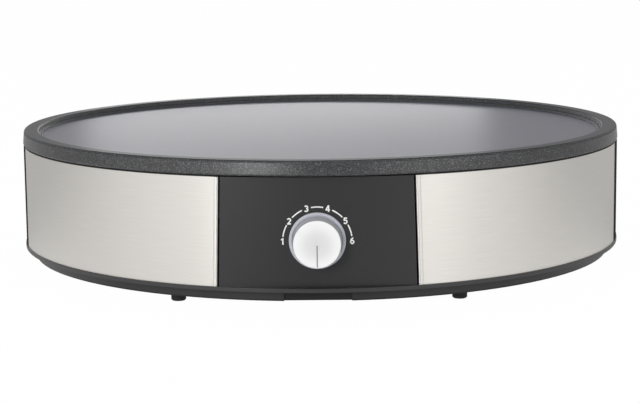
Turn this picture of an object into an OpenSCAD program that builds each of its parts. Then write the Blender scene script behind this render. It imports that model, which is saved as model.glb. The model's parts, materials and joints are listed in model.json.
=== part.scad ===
// Electric crepe maker: a rimmed cast plate on a round steel drum, heated by a
// clamped tubular element and set by a capillary thermostat behind one knob.
// Millimetres. Origin on the drum's axis at the level of the feet, +Z up, the
// control panel towards -Y.

/* [Cooking plate] */
// Widest diameter of the plate, at the foot of its skirt
plate_d = 402; // [394:1:430]
// How far the skirt leans in from its foot to the rim, on the radius
plate_draft = 0.8; // [0.2:0.1:1.5]
// Height of the plate's outer skirt
plate_side_h = 9.3; // [9:0.1:11]
// Depth of the cooking surface below the rim
rim_depth = 4.4; // [4.3:0.1:5.5]
// Width of the rim's flat top, corner to corner
rim_w = 9.8; // [9:0.1:11]
// Inward lean of the wall below the rim
rim_lean = 0.8; // [0.2:0.1:1.5]
// Height of the small inner step above the cooking surface
step_h = 1.6; // [1.2:0.1:1.7]
// Width of the small inner step
step_w = 1.6; // [1.4:0.1:2.4]
// Rounding of the rim's outer edge
rim_outer_round = 1.4; // [1:0.1:2.4]
// Rounding of the rim's inner edge
rim_inner_round = 1.9; // [1.2:0.1:2]
// Rounding of the step's edges
step_round = 0.6; // [0.4:0.1:0.7]
// Rounding under the skirt's foot
foot_round = 2; // [1:0.1:2.4]
// Thickness of the casting under the cooking surface
plate_t = 9.6; // [8.6:0.1:10.4]
// Width of the skirt's foot, from the outside in to the drip groove
skirt_foot_w = 5; // [4:0.1:6]
// Depth of the drip groove under the rim
drip_groove_d = 1.3; // [1.2:0.1:1.5]
// How far the thick middle of the casting ends inside the drum
core_inset = 22.4; // [21.8:0.1:24]
// Width of the stiffening rib ring under the plate
rib_w = 4; // [3:0.1:6]
// Height of the stiffening rib ring under the plate
rib_h = 5; // [3:0.1:6]
// Distance of the rib ring from the edge of the casting's thick middle
rib_inset = 14; // [10:0.5:16]

/* [Drum] */
// How far the plate overhangs the steel bands
plate_overhang = 0.6; // [0.4:0.1:1]
// Air gap between the top ring and the plate's skirt
plate_gap = 0.3; // [0.2:0.05:0.6]
// Height of the steel bands
band_h = 65.3; // [64:0.1:70]
// Sheet thickness of the steel bands
band_t = 0.8; // [0.6:0.1:1]
// Depth to which each band's end is turned in, from the drum's outside
band_return = 3.6; // [2.5:0.1:4]
// Bevel of the turned end's outer corner
band_bevel = 1.3; // [0.8:0.1:1.4]
// Distance of the bands' rear ends from the drum's middle, towards the front
band_end = 50.2; // [44:0.1:56]

/* [Front panel] */
// Width of the slot between the bands at its top
slot_w_top = 114.6; // [112:0.1:116]
// Width of the slot between the bands at its foot
slot_w_foot = 118.1; // [117:0.1:120]
// Gap between the panel and each band's end
panel_gap = 0.7; // [0.4:0.1:1]
// Radius of the panel's outer face
panel_r = 370; // [340:1:420]
// How far the panel's middle lies behind the drum's surface
panel_setback = 4.4; // [4.2:0.1:4.8]
// Wall thickness of the panel and of the recess round the gland
panel_t = 2.5; // [2.3:0.1:2.8]
// Depth of the stiffening frame behind the panel's wall
panel_frame_d = 4.3; // [3.5:0.1:4.5]
// Thickness of that frame
panel_frame_t = 2; // [1.5:0.1:2.5]
// Distance of each screw of the panel and the cover from the middle
panel_screw_x = 44; // [40:1:46]
// Width of a fixing lug
lug_w = 14; // [12:0.5:15]
// Thickness of a fixing lug
lug_t = 3; // [2.5:0.1:4]
// Length of a fixing lug behind the panel's frame
lug_len = 15; // [14:0.5:18]

/* [Rear cover] */
// How far the rear cover stands out past the steel bands
cover_proud = 0.3; // [0.1:0.05:0.5]
// Thickness of the cover between its rebated edges
cover_t = 2.5; // [2.2:0.1:3]
// Rounding of the cover's upper edge
cover_round = 0.9; // [0.5:0.1:0.9]
// Gap between the cover and each band's end
cover_gap = 0.3; // [0.1:0.05:0.5]
// Length of the tongue behind each band's end
tongue_len = 6; // [4:0.5:10]
// Diameter of the recess round the cord gland
niche_d = 40; // [36:1:48]

/* [Top ring] */
// Sheet thickness of the top ring
ring_t = 1.2; // [1:0.1:1.5]
// Height of the top ring's outer wall
ring_wall_h = 12; // [8:0.5:14]
// Thickness of the lip over the bands' upper edges
lip_t = 0.5; // [0.4:0.05:0.8]
// How far the lip stays inside the bands' outer face
lip_inset = 0.2; // [0.1:0.05:0.4]
// Gap between the top ring's inner edge and the casting
ring_gap = 3; // [2:0.1:3.5]
// Room between what stands in the panel slot and the pieces cut back round it
slot_clear = 0.4; // [0.3:0.05:0.6]
// Depth of the pockets behind the panel and the gland, from the drum's outside
pocket_d = 12.6; // [12.3:0.1:13]

/* [Base tray] */
// Height of the tray's recessed skirt below the flange
skirt_h = 6.2; // [5.5:0.1:7]
// How far the skirt lies inside the drum
skirt_inset = 6; // [5:0.1:7]
// Wall thickness of the skirt
skirt_t = 2; // [1.5:0.1:2.5]
// Thickness of the flange under the bands
flange_t = 2.4; // [2:0.1:3]
// How far the flange stands out past the bands
flange_proud = 0.8; // [0.4:0.1:1.2]
// Thickness of the tray's floor
floor_t = 2; // [1.5:0.1:2.5]
// Height of the upstand inside the bands
upstand_h = 10; // [7:0.5:12]
// Thickness of the upstand
upstand_t = 1.6; // [1.2:0.1:2]
// Width of the recess in the front of the skirt
recess_w = 40; // [36:1:44]
// Depth of the recess in the front of the skirt
recess_d = 3; // [2:0.1:3.2]
// Diameter of the tray's bosses round the panel screws
panel_boss_d = 9.6; // [9.4:0.1:10.4]
// Depth to which the panel screws' heads are sunk into the tray
screw_sink = 2.8; // [2.7:0.1:3.4]
// Number of cooling slots in the floor
vent_count = 28; // [20:2:32]
// Width of a cooling slot
vent_w = 3; // [2:0.1:4]
// Distance from the cooling slots to the tie screws' bosses
vent_margin = 10; // [6:0.5:14]
// Length of a cooling slot
vent_len = 32; // [24:1:34]

/* [Feet] */
// Height of the feet below the tray
foot_h = 8; // [7:0.1:10]
// Diameter of a foot at the floor
foot_d = 9.2; // [8.4:0.1:10]
// Diameter of the collar round a foot's top
foot_collar_d = 10.6; // [10.2:0.1:13]
// Height of that collar
foot_collar_h = 4.6; // [3:0.1:5.4]
// Number of feet
foot_count = 6; // [6:6:6]
// Distance from the inside of the skirt to the middle of each foot
foot_inset = 20.4; // [19:0.1:22]
// Diameter of a foot's stem
stem_d = 5; // [4:0.1:5.5]
// Chamfer round the foot's lower edge
foot_chamfer = 0.7; // [0.4:0.1:1]
// Diameter of the barbed head on a foot's stem
barb_d = 7; // [6.5:0.1:8]
// Height of the barbed head
barb_h = 2; // [1.5:0.1:2.5]

/* [Heating element] */
// Width of the flattened tube
elem_w = 8; // [7:0.1:8.5]
// Height of the flattened tube
elem_h = 6.4; // [5.8:0.1:6.6]
// Diameter of the tube where it stays round, in its bends and ends
tube_d = 6; // [5:0.1:6.2]
// Distance of the outer loop from the edge of the casting's thick middle
elem_margin = 38; // [36:0.5:42]
// Distance between the outer and the inner loop
loop_gap = 60; // [56:0.5:64]
// Direction in which the hairpin joins the loops
hairpin_az = 70; // [64:1:72]
// Direction at which both loops end in their terminals
terminal_az = 104; // [104:1:112]
// Bend radius where a terminal turns down
terminal_bend = 9; // [8:0.5:10]
// Length of a terminal's straight leg
terminal_leg = 16; // [14:0.5:18]
// Diameter of the sleeve on a terminal's leg
sleeve_d = 7; // [6.6:0.1:7.6]
// Diameter of the cold pin at the end of a leg
pin_d = 3.5; // [3:0.1:4]
// Length of the cold pin
pin_len = 6; // [5:0.5:8]

/* [Element clamps] */
// Width of a clamp bar
clamp_w = 14; // [12:0.5:15]
// Thickness of a clamp bar
clamp_t = 2; // [1.5:0.1:2.5]
// How far a clamp bar reaches past each loop
clamp_reach = 4; // [2:0.5:5]
// Diameter of the boss that a clamp is screwed to
clamp_boss_d = 12; // [10:0.5:13]

/* [Heat shield] */
// Sheet thickness of the heat shield
shield_t = 1; // [0.8:0.1:1.2]
// Height of the heat shield's upturned wall
shield_wall_h = 10; // [8:0.5:11]
// Distance from the outer loop to the shield's wall
shield_margin = 11; // [8:0.5:11.5]
// Diameter of the opening in the middle of the shield
shield_hole_d = 60; // [50:1:70]
// Diameter of the holes that the element's terminals pass through
terminal_hole_d = 14; // [12:0.5:16]

/* [Tie screws and spacers] */
// Height of the spacers between heat shield and plate
upper_spacer_h = 12.6; // [12:0.1:14]
// Outer diameter of the spacers
spacer_d = 12; // [10:0.5:14]
// Diameter of the bosses at both ends of the spacers
tie_boss_d = 16; // [14.5:0.5:18]
// Height of the bosses on the tray's floor
tie_boss_h = 4; // [3:0.5:5]
// Diameter of the long tie screws
tie_d = 5; // [4:0.1:5.5]
// How far each tie screw bites into the plate
tie_bite = 9; // [8:0.5:10]

/* [Fasteners] */
// Diameter of the small screws
screw_d = 4; // [3:0.1:4.2]
// Head diameter as a multiple of the screw's diameter
head_ratio = 1.9; // [1.7:0.05:2]
// Height of a screw head
head_h = 2.4; // [2:0.1:2.6]
// How far a screw's end stands out of the last sheet it holds
screw_tip = 1.5; // [1:0.1:2]
// Room round a screw in its hole, on the radius
screw_clear = 0.1; // [0.05:0.05:0.2]
// Diameter of the rivets in the top ring
rivet_d = 3.2; // [3:0.1:4]
// Height of a rivet's head and of its tail
rivet_head_h = 1; // [0.7:0.1:1.1]
// Gap between a rivet's head and the plate's skirt
rivet_room = 0.4; // [0.2:0.1:0.5]

/* [Ring posts] */
// Width of a ring post
post_w = 14; // [12:0.5:16]
// Sheet thickness of a ring post
post_t = 1.5; // [1.2:0.1:2]
// Gap between a ring post and the tray's wall
post_gap = 3.4; // [3.3:0.1:3.8]
// Length of a post's foot
post_foot = 12; // [11:0.5:13]
// Length of a post's top tab
post_tab = 9; // [8:0.5:9.5]

/* [Knob] */
// Height of the knob's axis above the bands' feet
knob_rise = 27.8; // [27.4:0.1:29]
// How far the knob's face stands out from the panel
knob_proud = 14; // [13:0.1:16]
// Diameter of the knob at its back
knob_back_d = 29; // [28:0.1:30]
// Diameter of the knob's face
knob_face_d = 27.7; // [26:0.1:28]
// Wall thickness of the knob
knob_wall = 1.8; // [1.4:0.1:2.2]
// Thickness of the cap on the knob's face
cap_t = 1; // [0.8:0.1:1.4]
// Rounding of the cap's edge
cap_round = 0.4; // [0.2:0.05:0.6]
// Width of the pointer line cut in the cap
pointer_w = 0.8; // [0.5:0.1:1.2]
// Depth of the pointer line
pointer_d = 0.3; // [0.2:0.05:0.4]
// Diameter of the knob's hub
hub_d = 11; // [10:0.1:12]
// Thickness of the webs that carry the hub
web_t = 1.2; // [1:0.1:1.6]
// Height of those webs
web_h = 3.2; // [2:0.1:4]
// Thickness of the spring clip round the hub
spring_t = 0.6; // [0.4:0.1:0.8]
// Width of the spring clip
spring_w = 3.2; // [2:0.1:4]
// Opening of the spring clip, in degrees
spring_gap = 60; // [40:5:90]
// Gap between the knob and the light ring
knob_clear = 0.4; // [0.3:0.05:0.6]

/* [Light ring] */
// Diameter of the light ring's visible flange
lring_d = 33.4; // [32:0.1:35]
// Thickness of the light ring's flange
lring_t = 1.7; // [1.4:0.1:2]
// Bevel of the flange's outer edge
lring_bevel = 0.5; // [0.3:0.05:0.7]
// Depth of its flat seat in the panel's curved face
lring_seat = 0.5; // [0.45:0.05:0.7]
// Diameter of the light ring's barrel
barrel_d = 30; // [29:0.1:31]
// Length of the barrel behind the panel
barrel_proud = 2; // [1.5:0.1:2.5]
// Bore of the light ring
lring_bore = 17; // [16.8:0.1:18]
// Thickness of the lamp board
board_t = 1.6; // [1.2:0.1:2]
// Diameter of the lamp board
board_d = 34; // [33:0.5:36]
// Height of a lamp on the board
lamp_t = 1.2; // [1:0.1:1.5]
// Width of a lamp
lamp_w = 3; // [2.5:0.1:3.5]
// Number of lamps
lamp_count = 4; // [3:1:6]
// Room round a piece that is set into a hole, on the radius
seat_clear = 0.1; // [0.05:0.05:0.2]

/* [Thermostat] */
// Diameter of the spindle
spindle_d = 6; // [5.5:0.1:6.5]
// Running clearance of the spindle in its bush, on the radius
spindle_clear = 0.05; // [0.02:0.01:0.08]
// Depth of the flat on the spindle's end
spindle_flat = 1.5; // [1:0.1:2]
// Diameter of the collar that keeps the spindle in the case
collar_d = 11; // [10:0.1:12]
// Thickness of that collar
collar_t = 3; // [2:0.1:4]
// Depth of the collar's inner face behind the case's front
collar_depth = 7; // [6:0.5:8]
// Room all round the collar in its chamber
collar_room = 0.5; // [0.3:0.1:0.7]
// How far the spindle reaches into the case
spindle_reach = 9.3; // [9:0.1:10.5]
// Diameter of the threaded bush
bush_d = 10; // [9:0.1:10.2]
// Length of the threaded bush in front of the case
bush_len = 6.3; // [6:0.1:6.6]
// Width of the thermostat's nut across its flats
nut_af = 14; // [13:0.1:14.2]
// Thickness of the thermostat's nut
nut_t = 2.3; // [2:0.1:2.4]
// Width and height of the thermostat's steel case
case_w = 38; // [34:0.5:39]
// Depth of the steel case
case_t = 14; // [12:0.5:15]
// Depth of the ceramic base behind it
base_t = 10; // [8:0.5:11]
// How far the ceramic base is smaller than the case, each side
base_inset = 2; // [1:0.1:3]
// Distance of the base's blades from the axis, sideways
blade_x = 9.5; // [8:0.1:10.5]
// Distance of the base's blades from the axis, up and down
blade_y = 7.6; // [6:0.1:9]
// Distance of the capillary's stub from the axis
stub_x = 12.7; // [11:0.1:13.4]
// Diameter of the capillary's stub
stub_d = 4.8; // [4:0.1:5.2]
// Height of the capillary's stub
stub_h = 2; // [1.5:0.1:2.5]
// Thickness of the bracket
bracket_t = 2; // [1.5:0.1:2.2]
// Width of the bracket
bracket_w = 44; // [42:0.5:48]
// Height of the bracket above the knob's axis
bracket_rise = 20; // [19:0.5:22]
// Length of the bracket's foot
bracket_foot = 18; // [17:0.5:22]
// Distance of the bracket's screws from the middle
bracket_screw_x = 14; // [12:0.5:16]

/* [Sensor] */
// Diameter of the sensor bulb
bulb_d = 4; // [3.5:0.1:4.5]
// Length of the sensor bulb
bulb_len = 48; // [40:1:50]
// Distance from the middle plane to the bulb's near end
bulb_x = 18; // [18:0.5:22]
// How far the bulb lies inside the middle of the space between the loops
bulb_inset = 2; // [0:0.5:4]
// Diameter of the capillary tube
capillary_d = 1.6; // [1.2:0.1:2]
// Length of the bulb clip along the bulb
clip_len = 10; // [9:0.5:14]
// Width of the bulb clip across the bulb
clip_w = 20; // [20:0.5:24]
// How far the clip reaches past the bulb
clip_lip = 2; // [1.5:0.5:3]
// Sheet of metal left under the bulb in its clip
clip_t = 1.5; // [1.2:0.1:2]

/* [Thermal cut-out] */
// Diameter of the cut-out's body
cutout_d = 16; // [14:0.5:17]
// Height of the cut-out's body
cutout_h = 9; // [7:0.5:10]
// Diameter of the cut-out's flange
cutout_flange_d = 19; // [18.5:0.5:20]
// Thickness of the flange and of the strap over it
cutout_flange_t = 1; // [0.8:0.1:1.2]
// Distance of the cut-out's blades from its axis
cutout_blade_x = 4; // [3.5:0.1:5]
// Half the distance between the strap's screws
strap_screw_x = 16; // [15:0.5:18]
// Width of the strap
strap_w = 10; // [9:0.5:12]

/* [Cord gland] */
// Height of the gland's axis above the tray's floor
gland_rise = 20; // [19:0.5:24]
// Bore of the gland
gland_bore = 7.5; // [7:0.1:8]
// Outer diameter of the gland's threaded barrel
gland_barrel_d = 12; // [11.5:0.1:13]
// Width of the gland's hexagon across its flats
gland_af = 18; // [17:0.5:20]
// Length of the hexagon
gland_hex_t = 5; // [4:0.5:6]
// How far the gland stands out from its seat
gland_proud = 14; // [13:0.1:15]
// Diameter of the gland's mouth
gland_mouth_d = 12; // [11:0.5:13]
// Length of the barrel behind the cover's wall
gland_tail = 7; // [6:0.5:9]
// Depth to which the gland's hexagon is let into the cover
gland_seat = 0.5; // [0.45:0.05:0.7]
// Rim of the flat seats cut round the gland's hexagons
gland_rim = 1; // [0.5:0.1:2]
// Thickness of the gland's lock nut
gland_nut_t = 3; // [2.5:0.5:4]

/* [Terminal block] */
// Distance of the terminal block and the earth screw from the middle plane
block_x = 40; // [38:1:46]
// Distance of the terminal block and the earth screw from the gland's seat
block_back = 46; // [42:0.5:50]
// Length of the terminal block
block_w = 34; // [30:1:36]
// Depth of the terminal block
block_d = 18; // [16:1:20]
// Height of the terminal block
block_h = 12; // [10:0.5:14]
// Number of poles
pole_count = 3; // [3:1:3]
// Width of the barriers between the poles
barrier_w = 2; // [1.5:0.1:3]
// Diameter of a pole's screws
pole_screw_d = 5.6; // [5:0.1:6]
// Height of a pole's screws
pole_screw_h = 1.2; // [1:0.1:2]
// Distance of a pole's screws from the middle of the block
pole_screw_y = 4.5; // [4:0.1:5]
// How far the block's fixing screw and the earth screw stand above the floor
block_bite = 4; // [3:0.5:4.5]
// Height of the barriers
barrier_h = 4; // [3:0.5:5]

/* [Wires] */
// Diameter of the mains wires
wire_d = 2.4; // [2:0.1:3]
// Height of the wires' run above the tray's floor
wire_rise = 7.2; // [6:0.1:10]
// Width of the flat terminal tabs
tab_w = 6.3; // [4.8:0.1:6.3]
// Thickness of the flat terminal tabs
tab_t = 0.8; // [0.5:0.1:1]
// Length of the flat terminal tabs
tab_len = 7; // [6:0.5:8]

/* [Hidden] */

$fn = 96;
eps = 0.01;
facets = 5;
wire_sides = 8;

// Radii, from the plate inwards
plate_r = plate_d / 2;
drum_r = plate_r - plate_overhang;
band_in_r = drum_r - band_t;
cover_r = drum_r + cover_proud;
flange_r = drum_r + flange_proud;
skirt_r = drum_r - skirt_inset;
wall_in_r = skirt_r - skirt_t;
core_r = drum_r - core_inset;
rib_r = core_r - rib_inset - rib_w;
elem_outer_r = core_r - elem_margin;
elem_inner_r = elem_outer_r - loop_gap;
ring_in_r = core_r + ring_gap;
foot_r = wall_in_r - foot_inset;
post_r = wall_in_r - post_gap;
loop_mid_r = (elem_outer_r + elem_inner_r) / 2;
shield_r = elem_outer_r + elem_w / 2 + shield_margin;
vent_r = loop_mid_r - tie_boss_d / 2 - vent_margin - vent_len;

// Levels, from the feet upwards
z_floor = foot_h + floor_t;
z_flange = foot_h + skirt_h;
z_band = z_flange + flange_t;
z_band_top = z_band + band_h;
z_ring_top = z_band_top + lip_t;
z_plate = z_ring_top + plate_gap;
z_rim = z_plate + plate_side_h;
z_cook = z_rim - rim_depth;
z_under = z_cook - plate_t;
z_drip = z_plate + drip_groove_d;
z_elem = z_under - elem_h / 2;
z_clamp = z_under - elem_h;
z_shield = z_clamp - upper_spacer_h;
z_boss = z_floor + tie_boss_h;
z_knob = z_band + knob_rise;
z_gland = z_floor + gland_rise;

// Depths along the knob's axis, measured outwards from the panel's face
s_face = drum_r - panel_setback;
s_ring = lring_t - lring_seat;
s_barrel = -panel_t - barrel_proud;
s_board = s_barrel - lamp_t;
s_bracket = s_board - board_t;
s_case = s_bracket - bracket_t;
s_base = s_case - case_t;
s_tabs = s_base - base_t;
s_knob = s_ring + knob_clear;
s_cap = knob_proud - cap_t;
s_hub = s_cap - knob_wall;

head_d = screw_d * head_ratio;
tie_head_d = tie_d * head_ratio;
tie_az = [45, 135, 225, 315];
clamp_az = [0, 180, 270];
post_az = [-35, 35, 145, 215];
slot_lean = atan((slot_w_foot - slot_w_top) / 2 / band_h);
y_pocket = drum_r - pocket_d;
y_frame = s_face - panel_t - panel_frame_d;
y_lug = y_frame - lug_len;
y_panel_screw = y_lug + lug_w / 2;
y_bulb = loop_mid_r - bulb_inset;
block_y = s_face - block_back;
z_bulb = z_under - bulb_d / 2;
z_cutout = z_under - cutout_flange_t;
z_tab = z_cutout - cutout_h;
far = plate_d;

function unit(v) = v / norm(v);
function polar(r, a) = [r * cos(a), r * sin(a)];
function tangent(a) = [-sin(a), cos(a)];
function at(p, z) = [p.x, p.y, z];

// Rounds each corner of an outline by its own radius, as arcs of a few chords
function corner(a, p, b, r) =
    let (u = unit(a - p), v = unit(b - p), half = acos(u * v) / 2)
    let (c = p + unit(u + v) * r / sin(half), s = p + u * r / tan(half) - c)
    let (turn = (u.x * v.y - u.y * v.x > 0 ? -1 : 1) * (180 - 2 * half))
    [for (i = [0:facets]) let (t = turn * i / facets)
        c + [s.x * cos(t) - s.y * sin(t), s.x * sin(t) + s.y * cos(t)]];
function rounded(points, radii) =
    let (n = len(points))
    [for (i = [0:n - 1]) each radii[i] == 0 ? [points[i]]
        : corner(points[(i + n - 1) % n], points[i], points[(i + 1) % n], radii[i])];

// A smooth curve through the points of a wire's route
function between(a, b, c, d, t) =
    0.5 * (2 * b + (c - a) * t + (2 * a - 5 * b + 4 * c - d) * t ^ 2
        + (3 * b - a - 3 * c + d) * t ^ 3);
function smooth(p, n = 4) =
    let (last = len(p) - 1)
    [for (i = [0:last - 1], j = [0:n - 1])
        between(p[max(i - 1, 0)], p[i], p[i + 1], p[min(i + 2, last)], j / n), p[last]];

// A round wire along a curve, as one closed skin with flat ends
module wire(route, d) {
    path = smooth(route);
    last = len(path) - 1;
    stop = len(route) - 1;
    across = [for (i = [0:last])
        let (t = i == 0 ? unit(route[1] - route[0])
            : i == last ? unit(route[stop] - route[stop - 1])
            : unit(path[i + 1] - path[i - 1]))
        let (u = unit(cross(t, abs(t.z) > 0.8 ? [1, 0.3, 0] : [0.1, 0, 1])))
        [u, cross(t, u)]];
    skin = [for (i = [0:last], k = [0:wire_sides - 1])
        path[i] + d / 2 * (across[i][0] * cos(360 * k / wire_sides)
            + across[i][1] * sin(360 * k / wire_sides))];
    sides = [for (i = [0:last - 1], k = [0:wire_sides - 1])
        let (n = (k + 1) % wire_sides, a = i * wire_sides, b = a + wire_sides)
        [a + k, b + k, b + n, a + n]];
    start = [for (k = [0:wire_sides - 1]) k];
    end = [for (k = [wire_sides - 1:-1:0]) last * wire_sides + k];
    polyhedron(skin, concat([start, end], sides), convexity = 6);
}

module tube(r_out, r_in, h) {
    difference() {
        cylinder(r = r_out, h = h);
        translate([0, 0, -eps]) cylinder(r = r_in, h = h + 2 * eps);
    }
}

// A pan-head screw that points up, its head's seat at the origin
module screw(d, len, head = head_d) {
    translate([0, 0, -head_h]) cylinder(d = head, h = head_h);
    cylinder(d = d, h = len);
}

module screw_hole(d, z_low, z_high) {
    translate([0, 0, z_low]) cylinder(r = d / 2 + screw_clear, h = z_high - z_low);
}

// Children drawn along +Z from the panel's face land on the knob's axis
module on_knob_axis() {
    translate([0, -s_face, z_knob]) rotate([90, 0, 0]) children();
}

// The same for the gland, from the face of its recess
module on_gland_axis() {
    translate([0, s_face, z_gland]) rotate([-90, 0, 0]) children();
}

// The panel's slot as a tapered block right through the drum, grown by grow
module slot_block(grow, z_low = z_band, z_high = z_band_top) {
    half_foot = slot_w_foot / 2 + grow + (z_band - z_low) * tan(slot_lean);
    half_top = slot_w_top / 2 + grow - (z_high - z_band_top) * tan(slot_lean);
    rotate([90, 0, 0])
        linear_extrude(far, center = true)
            polygon([[-half_foot, z_low], [half_foot, z_low], [half_top, z_high], [-half_top, z_high]]);
}

// What the panel, the gland's recess and the bands' turned ends need cleared
module slot_pockets(z_low, z_high) {
    difference() {
        slot_block(band_t + slot_clear, z_low, z_high);
        translate([-far / 2, -y_pocket, z_low - eps]) cube([far, 2 * y_pocket, z_high - z_low + 2 * eps]);
    }
}

module plate_section() {
    land_r = plate_r - plate_draft;
    wall_r = land_r - rim_w;
    step_r = wall_r - rim_lean;
    bed_r = step_r - step_w;
    z_step = z_cook + step_h;
    corners = [
        [0, z_under], [core_r, z_under], [core_r, z_drip],
        [plate_r - skirt_foot_w, z_drip], [plate_r - skirt_foot_w, z_plate],
        [plate_r, z_plate], [land_r, z_rim], [wall_r, z_rim],
        [step_r, z_step], [bed_r, z_step], [bed_r - step_round, z_cook], [0, z_cook]
    ];
    radii = [0, step_round, 0, 0, 0, foot_round, rim_outer_round, rim_inner_round,
        step_round, step_round, step_round, 0];
    polygon(rounded(corners, radii));
}

module cooking_plate() {
    color("dimgray")
    difference() {
        union() {
            rotate_extrude($fn = 180) plate_section();
            translate([0, 0, z_under - rib_h]) tube(rib_r + rib_w, rib_r, rib_h + eps);
            for (a = tie_az) translate(at(polar(loop_mid_r, a), z_clamp))
                cylinder(d = tie_boss_d, h = elem_h + eps);
            for (a = clamp_az) translate(at(polar(loop_mid_r, a), z_clamp))
                cylinder(d = clamp_boss_d, h = elem_h + eps);
        }
        for (a = tie_az) translate(at(polar(loop_mid_r, a), 0))
            screw_hole(tie_d, z_clamp - eps, z_clamp + tie_bite + screw_clear);
        for (a = clamp_az) translate(at(polar(loop_mid_r, a), 0))
            screw_hole(screw_d, z_clamp - eps, z_under + screw_clear);
        for (x = [-1, 1]) translate([x * strap_screw_x, 0, 0])
            screw_hole(screw_d, z_under - eps, z_under + plate_t / 2 + screw_clear);
        translate([bulb_x + bulb_len / 2, -y_bulb - clip_w / 2 + head_d / 2, 0])
            screw_hole(screw_d, z_under - eps, z_under + plate_t / 2 + screw_clear);
    }
}

module flat_section() {
    intersection() {
        circle(d = elem_w, $fn = 32);
        square([elem_w, elem_h], center = true);
    }
}

module loop(r) {
    translate([0, 0, z_elem])
        rotate_extrude(angle = 360 - (terminal_az - hairpin_az), start = terminal_az, $fn = 120)
            translate([r, 0]) flat_section();
}

function terminal_xy(r) = polar(r, terminal_az) - terminal_bend * tangent(terminal_az);
z_leg = z_elem - terminal_bend - terminal_leg;

module terminal(r) {
    translate(at(polar(r, terminal_az), z_elem - terminal_bend))
        rotate([0, 0, terminal_az]) rotate([180, -90, 0])
            rotate_extrude(angle = 90, $fn = 48)
                translate([terminal_bend, 0]) circle(d = tube_d, $fn = 32);
    translate(at(terminal_xy(r), z_leg)) {
        cylinder(d = sleeve_d, h = terminal_leg, $fn = 32);
        translate([0, 0, -pin_len]) cylinder(d = pin_d, h = pin_len, $fn = 32);
    }
}

module heating_element() {
    color("slategray") {
        loop(elem_outer_r);
        loop(elem_inner_r);
        translate(at(polar(loop_mid_r, hairpin_az), z_elem))
            rotate_extrude(angle = 180, start = hairpin_az, $fn = 96)
                translate([(elem_outer_r - elem_inner_r) / 2, 0]) circle(d = tube_d, $fn = 32);
        terminal(elem_outer_r);
        terminal(elem_inner_r);
    }
}

module element_clamp(k) {
    half_len = (elem_outer_r - elem_inner_r + elem_w) / 2 + clamp_reach;
    color("silver")
    rotate([0, 0, clamp_az[k - 1]])
        translate([loop_mid_r, 0, z_clamp - clamp_t])
            difference() {
                translate([-half_len, -clamp_w / 2, 0]) cube([2 * half_len, clamp_w, clamp_t]);
                screw_hole(screw_d, -eps, clamp_t + eps);
            }
}

module clamp_screws() {
    color("gainsboro") {
        for (a = clamp_az) translate(at(polar(loop_mid_r, a), z_clamp - clamp_t))
            screw(screw_d, clamp_t + elem_h);
        for (x = [-1, 1]) translate([x * strap_screw_x, 0, z_strap])
            screw(screw_d, cutout_flange_t + plate_t / 2);
        translate([bulb_x + bulb_len / 2, -y_bulb - clip_w / 2 + head_d / 2, z_clip])
            screw(screw_d, bulb_d + clip_t + plate_t / 2);
    }
}

module heat_shield() {
    color("lightsteelblue")
    difference() {
        translate([0, 0, z_shield - shield_t]) {
            tube(shield_r, shield_hole_d / 2, shield_t);
            tube(shield_r, shield_r - shield_t, shield_t + shield_wall_h);
        }
        for (a = tie_az) translate(at(polar(loop_mid_r, a), 0))
            screw_hole(tie_d, z_shield - shield_t - eps, z_shield + eps);
        for (r = [elem_outer_r, elem_inner_r]) translate(at(terminal_xy(r), z_shield - shield_t - eps))
            cylinder(d = terminal_hole_d, h = shield_t + 2 * eps);
    }
}

module upper_spacer(k) {
    color("silver")
    translate(at(polar(loop_mid_r, tie_az[k - 1]), z_shield))
        tube(spacer_d / 2, tie_d / 2 + screw_clear, upper_spacer_h);
}

module lower_spacer(k) {
    color("silver")
    translate(at(polar(loop_mid_r, tie_az[k - 1]), z_boss))
        tube(spacer_d / 2, tie_d / 2 + screw_clear, z_shield - shield_t - z_boss);
}

module tie_screws() {
    color("gainsboro")
    for (a = tie_az) translate(at(polar(loop_mid_r, a), foot_h))
        screw(tie_d, z_clamp + tie_bite - foot_h, tie_head_d);
}

// One half of the drum's wall beyond the slot, its ends inset by inset
module band_solid(r, depth, inset) {
    half_foot = slot_w_foot / 2 + inset;
    half_top = slot_w_top / 2 + inset;
    intersection() {
        translate([0, 0, z_band]) tube(r, drum_r - depth, band_h, $fn = 180);
        rotate([90, 0, 0]) linear_extrude(far, center = true)
            polygon([[half_foot, z_band], [far, z_band], [far, z_band_top], [half_top, z_band_top]]);
    }
}

// Cuts the outer corner of a band's front end along the leaning edge
module end_bevel() {
    edge_x = slot_w_foot / 2;
    edge_y = sqrt(drum_r ^ 2 - edge_x ^ 2);
    top_y = sqrt(drum_r ^ 2 - (slot_w_top / 2) ^ 2);
    translate([edge_x, -edge_y, z_band]) rotate([atan((top_y - edge_y) / band_h), -slot_lean, 0])
        rotate([0, 0, asin(edge_x / drum_r) / 2 - 45])
            translate([-band_t, -far / 2 - band_bevel / 2, -band_h / 2])
                cube([2 * band_t, far / 2, 2 * band_h]);
}

module side_band() {
    color("gainsboro")
    difference() {
        band_solid(drum_r, band_return, 0);
        band_solid(band_in_r, band_return + band_t, band_t);
        end_bevel();
        translate([0, -band_end, z_band - eps]) cube([far, far, band_h + 2 * eps]);
    }
}

module side_band_right() { side_band(); }
module side_band_left() { mirror([1, 0, 0]) side_band(); }

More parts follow.
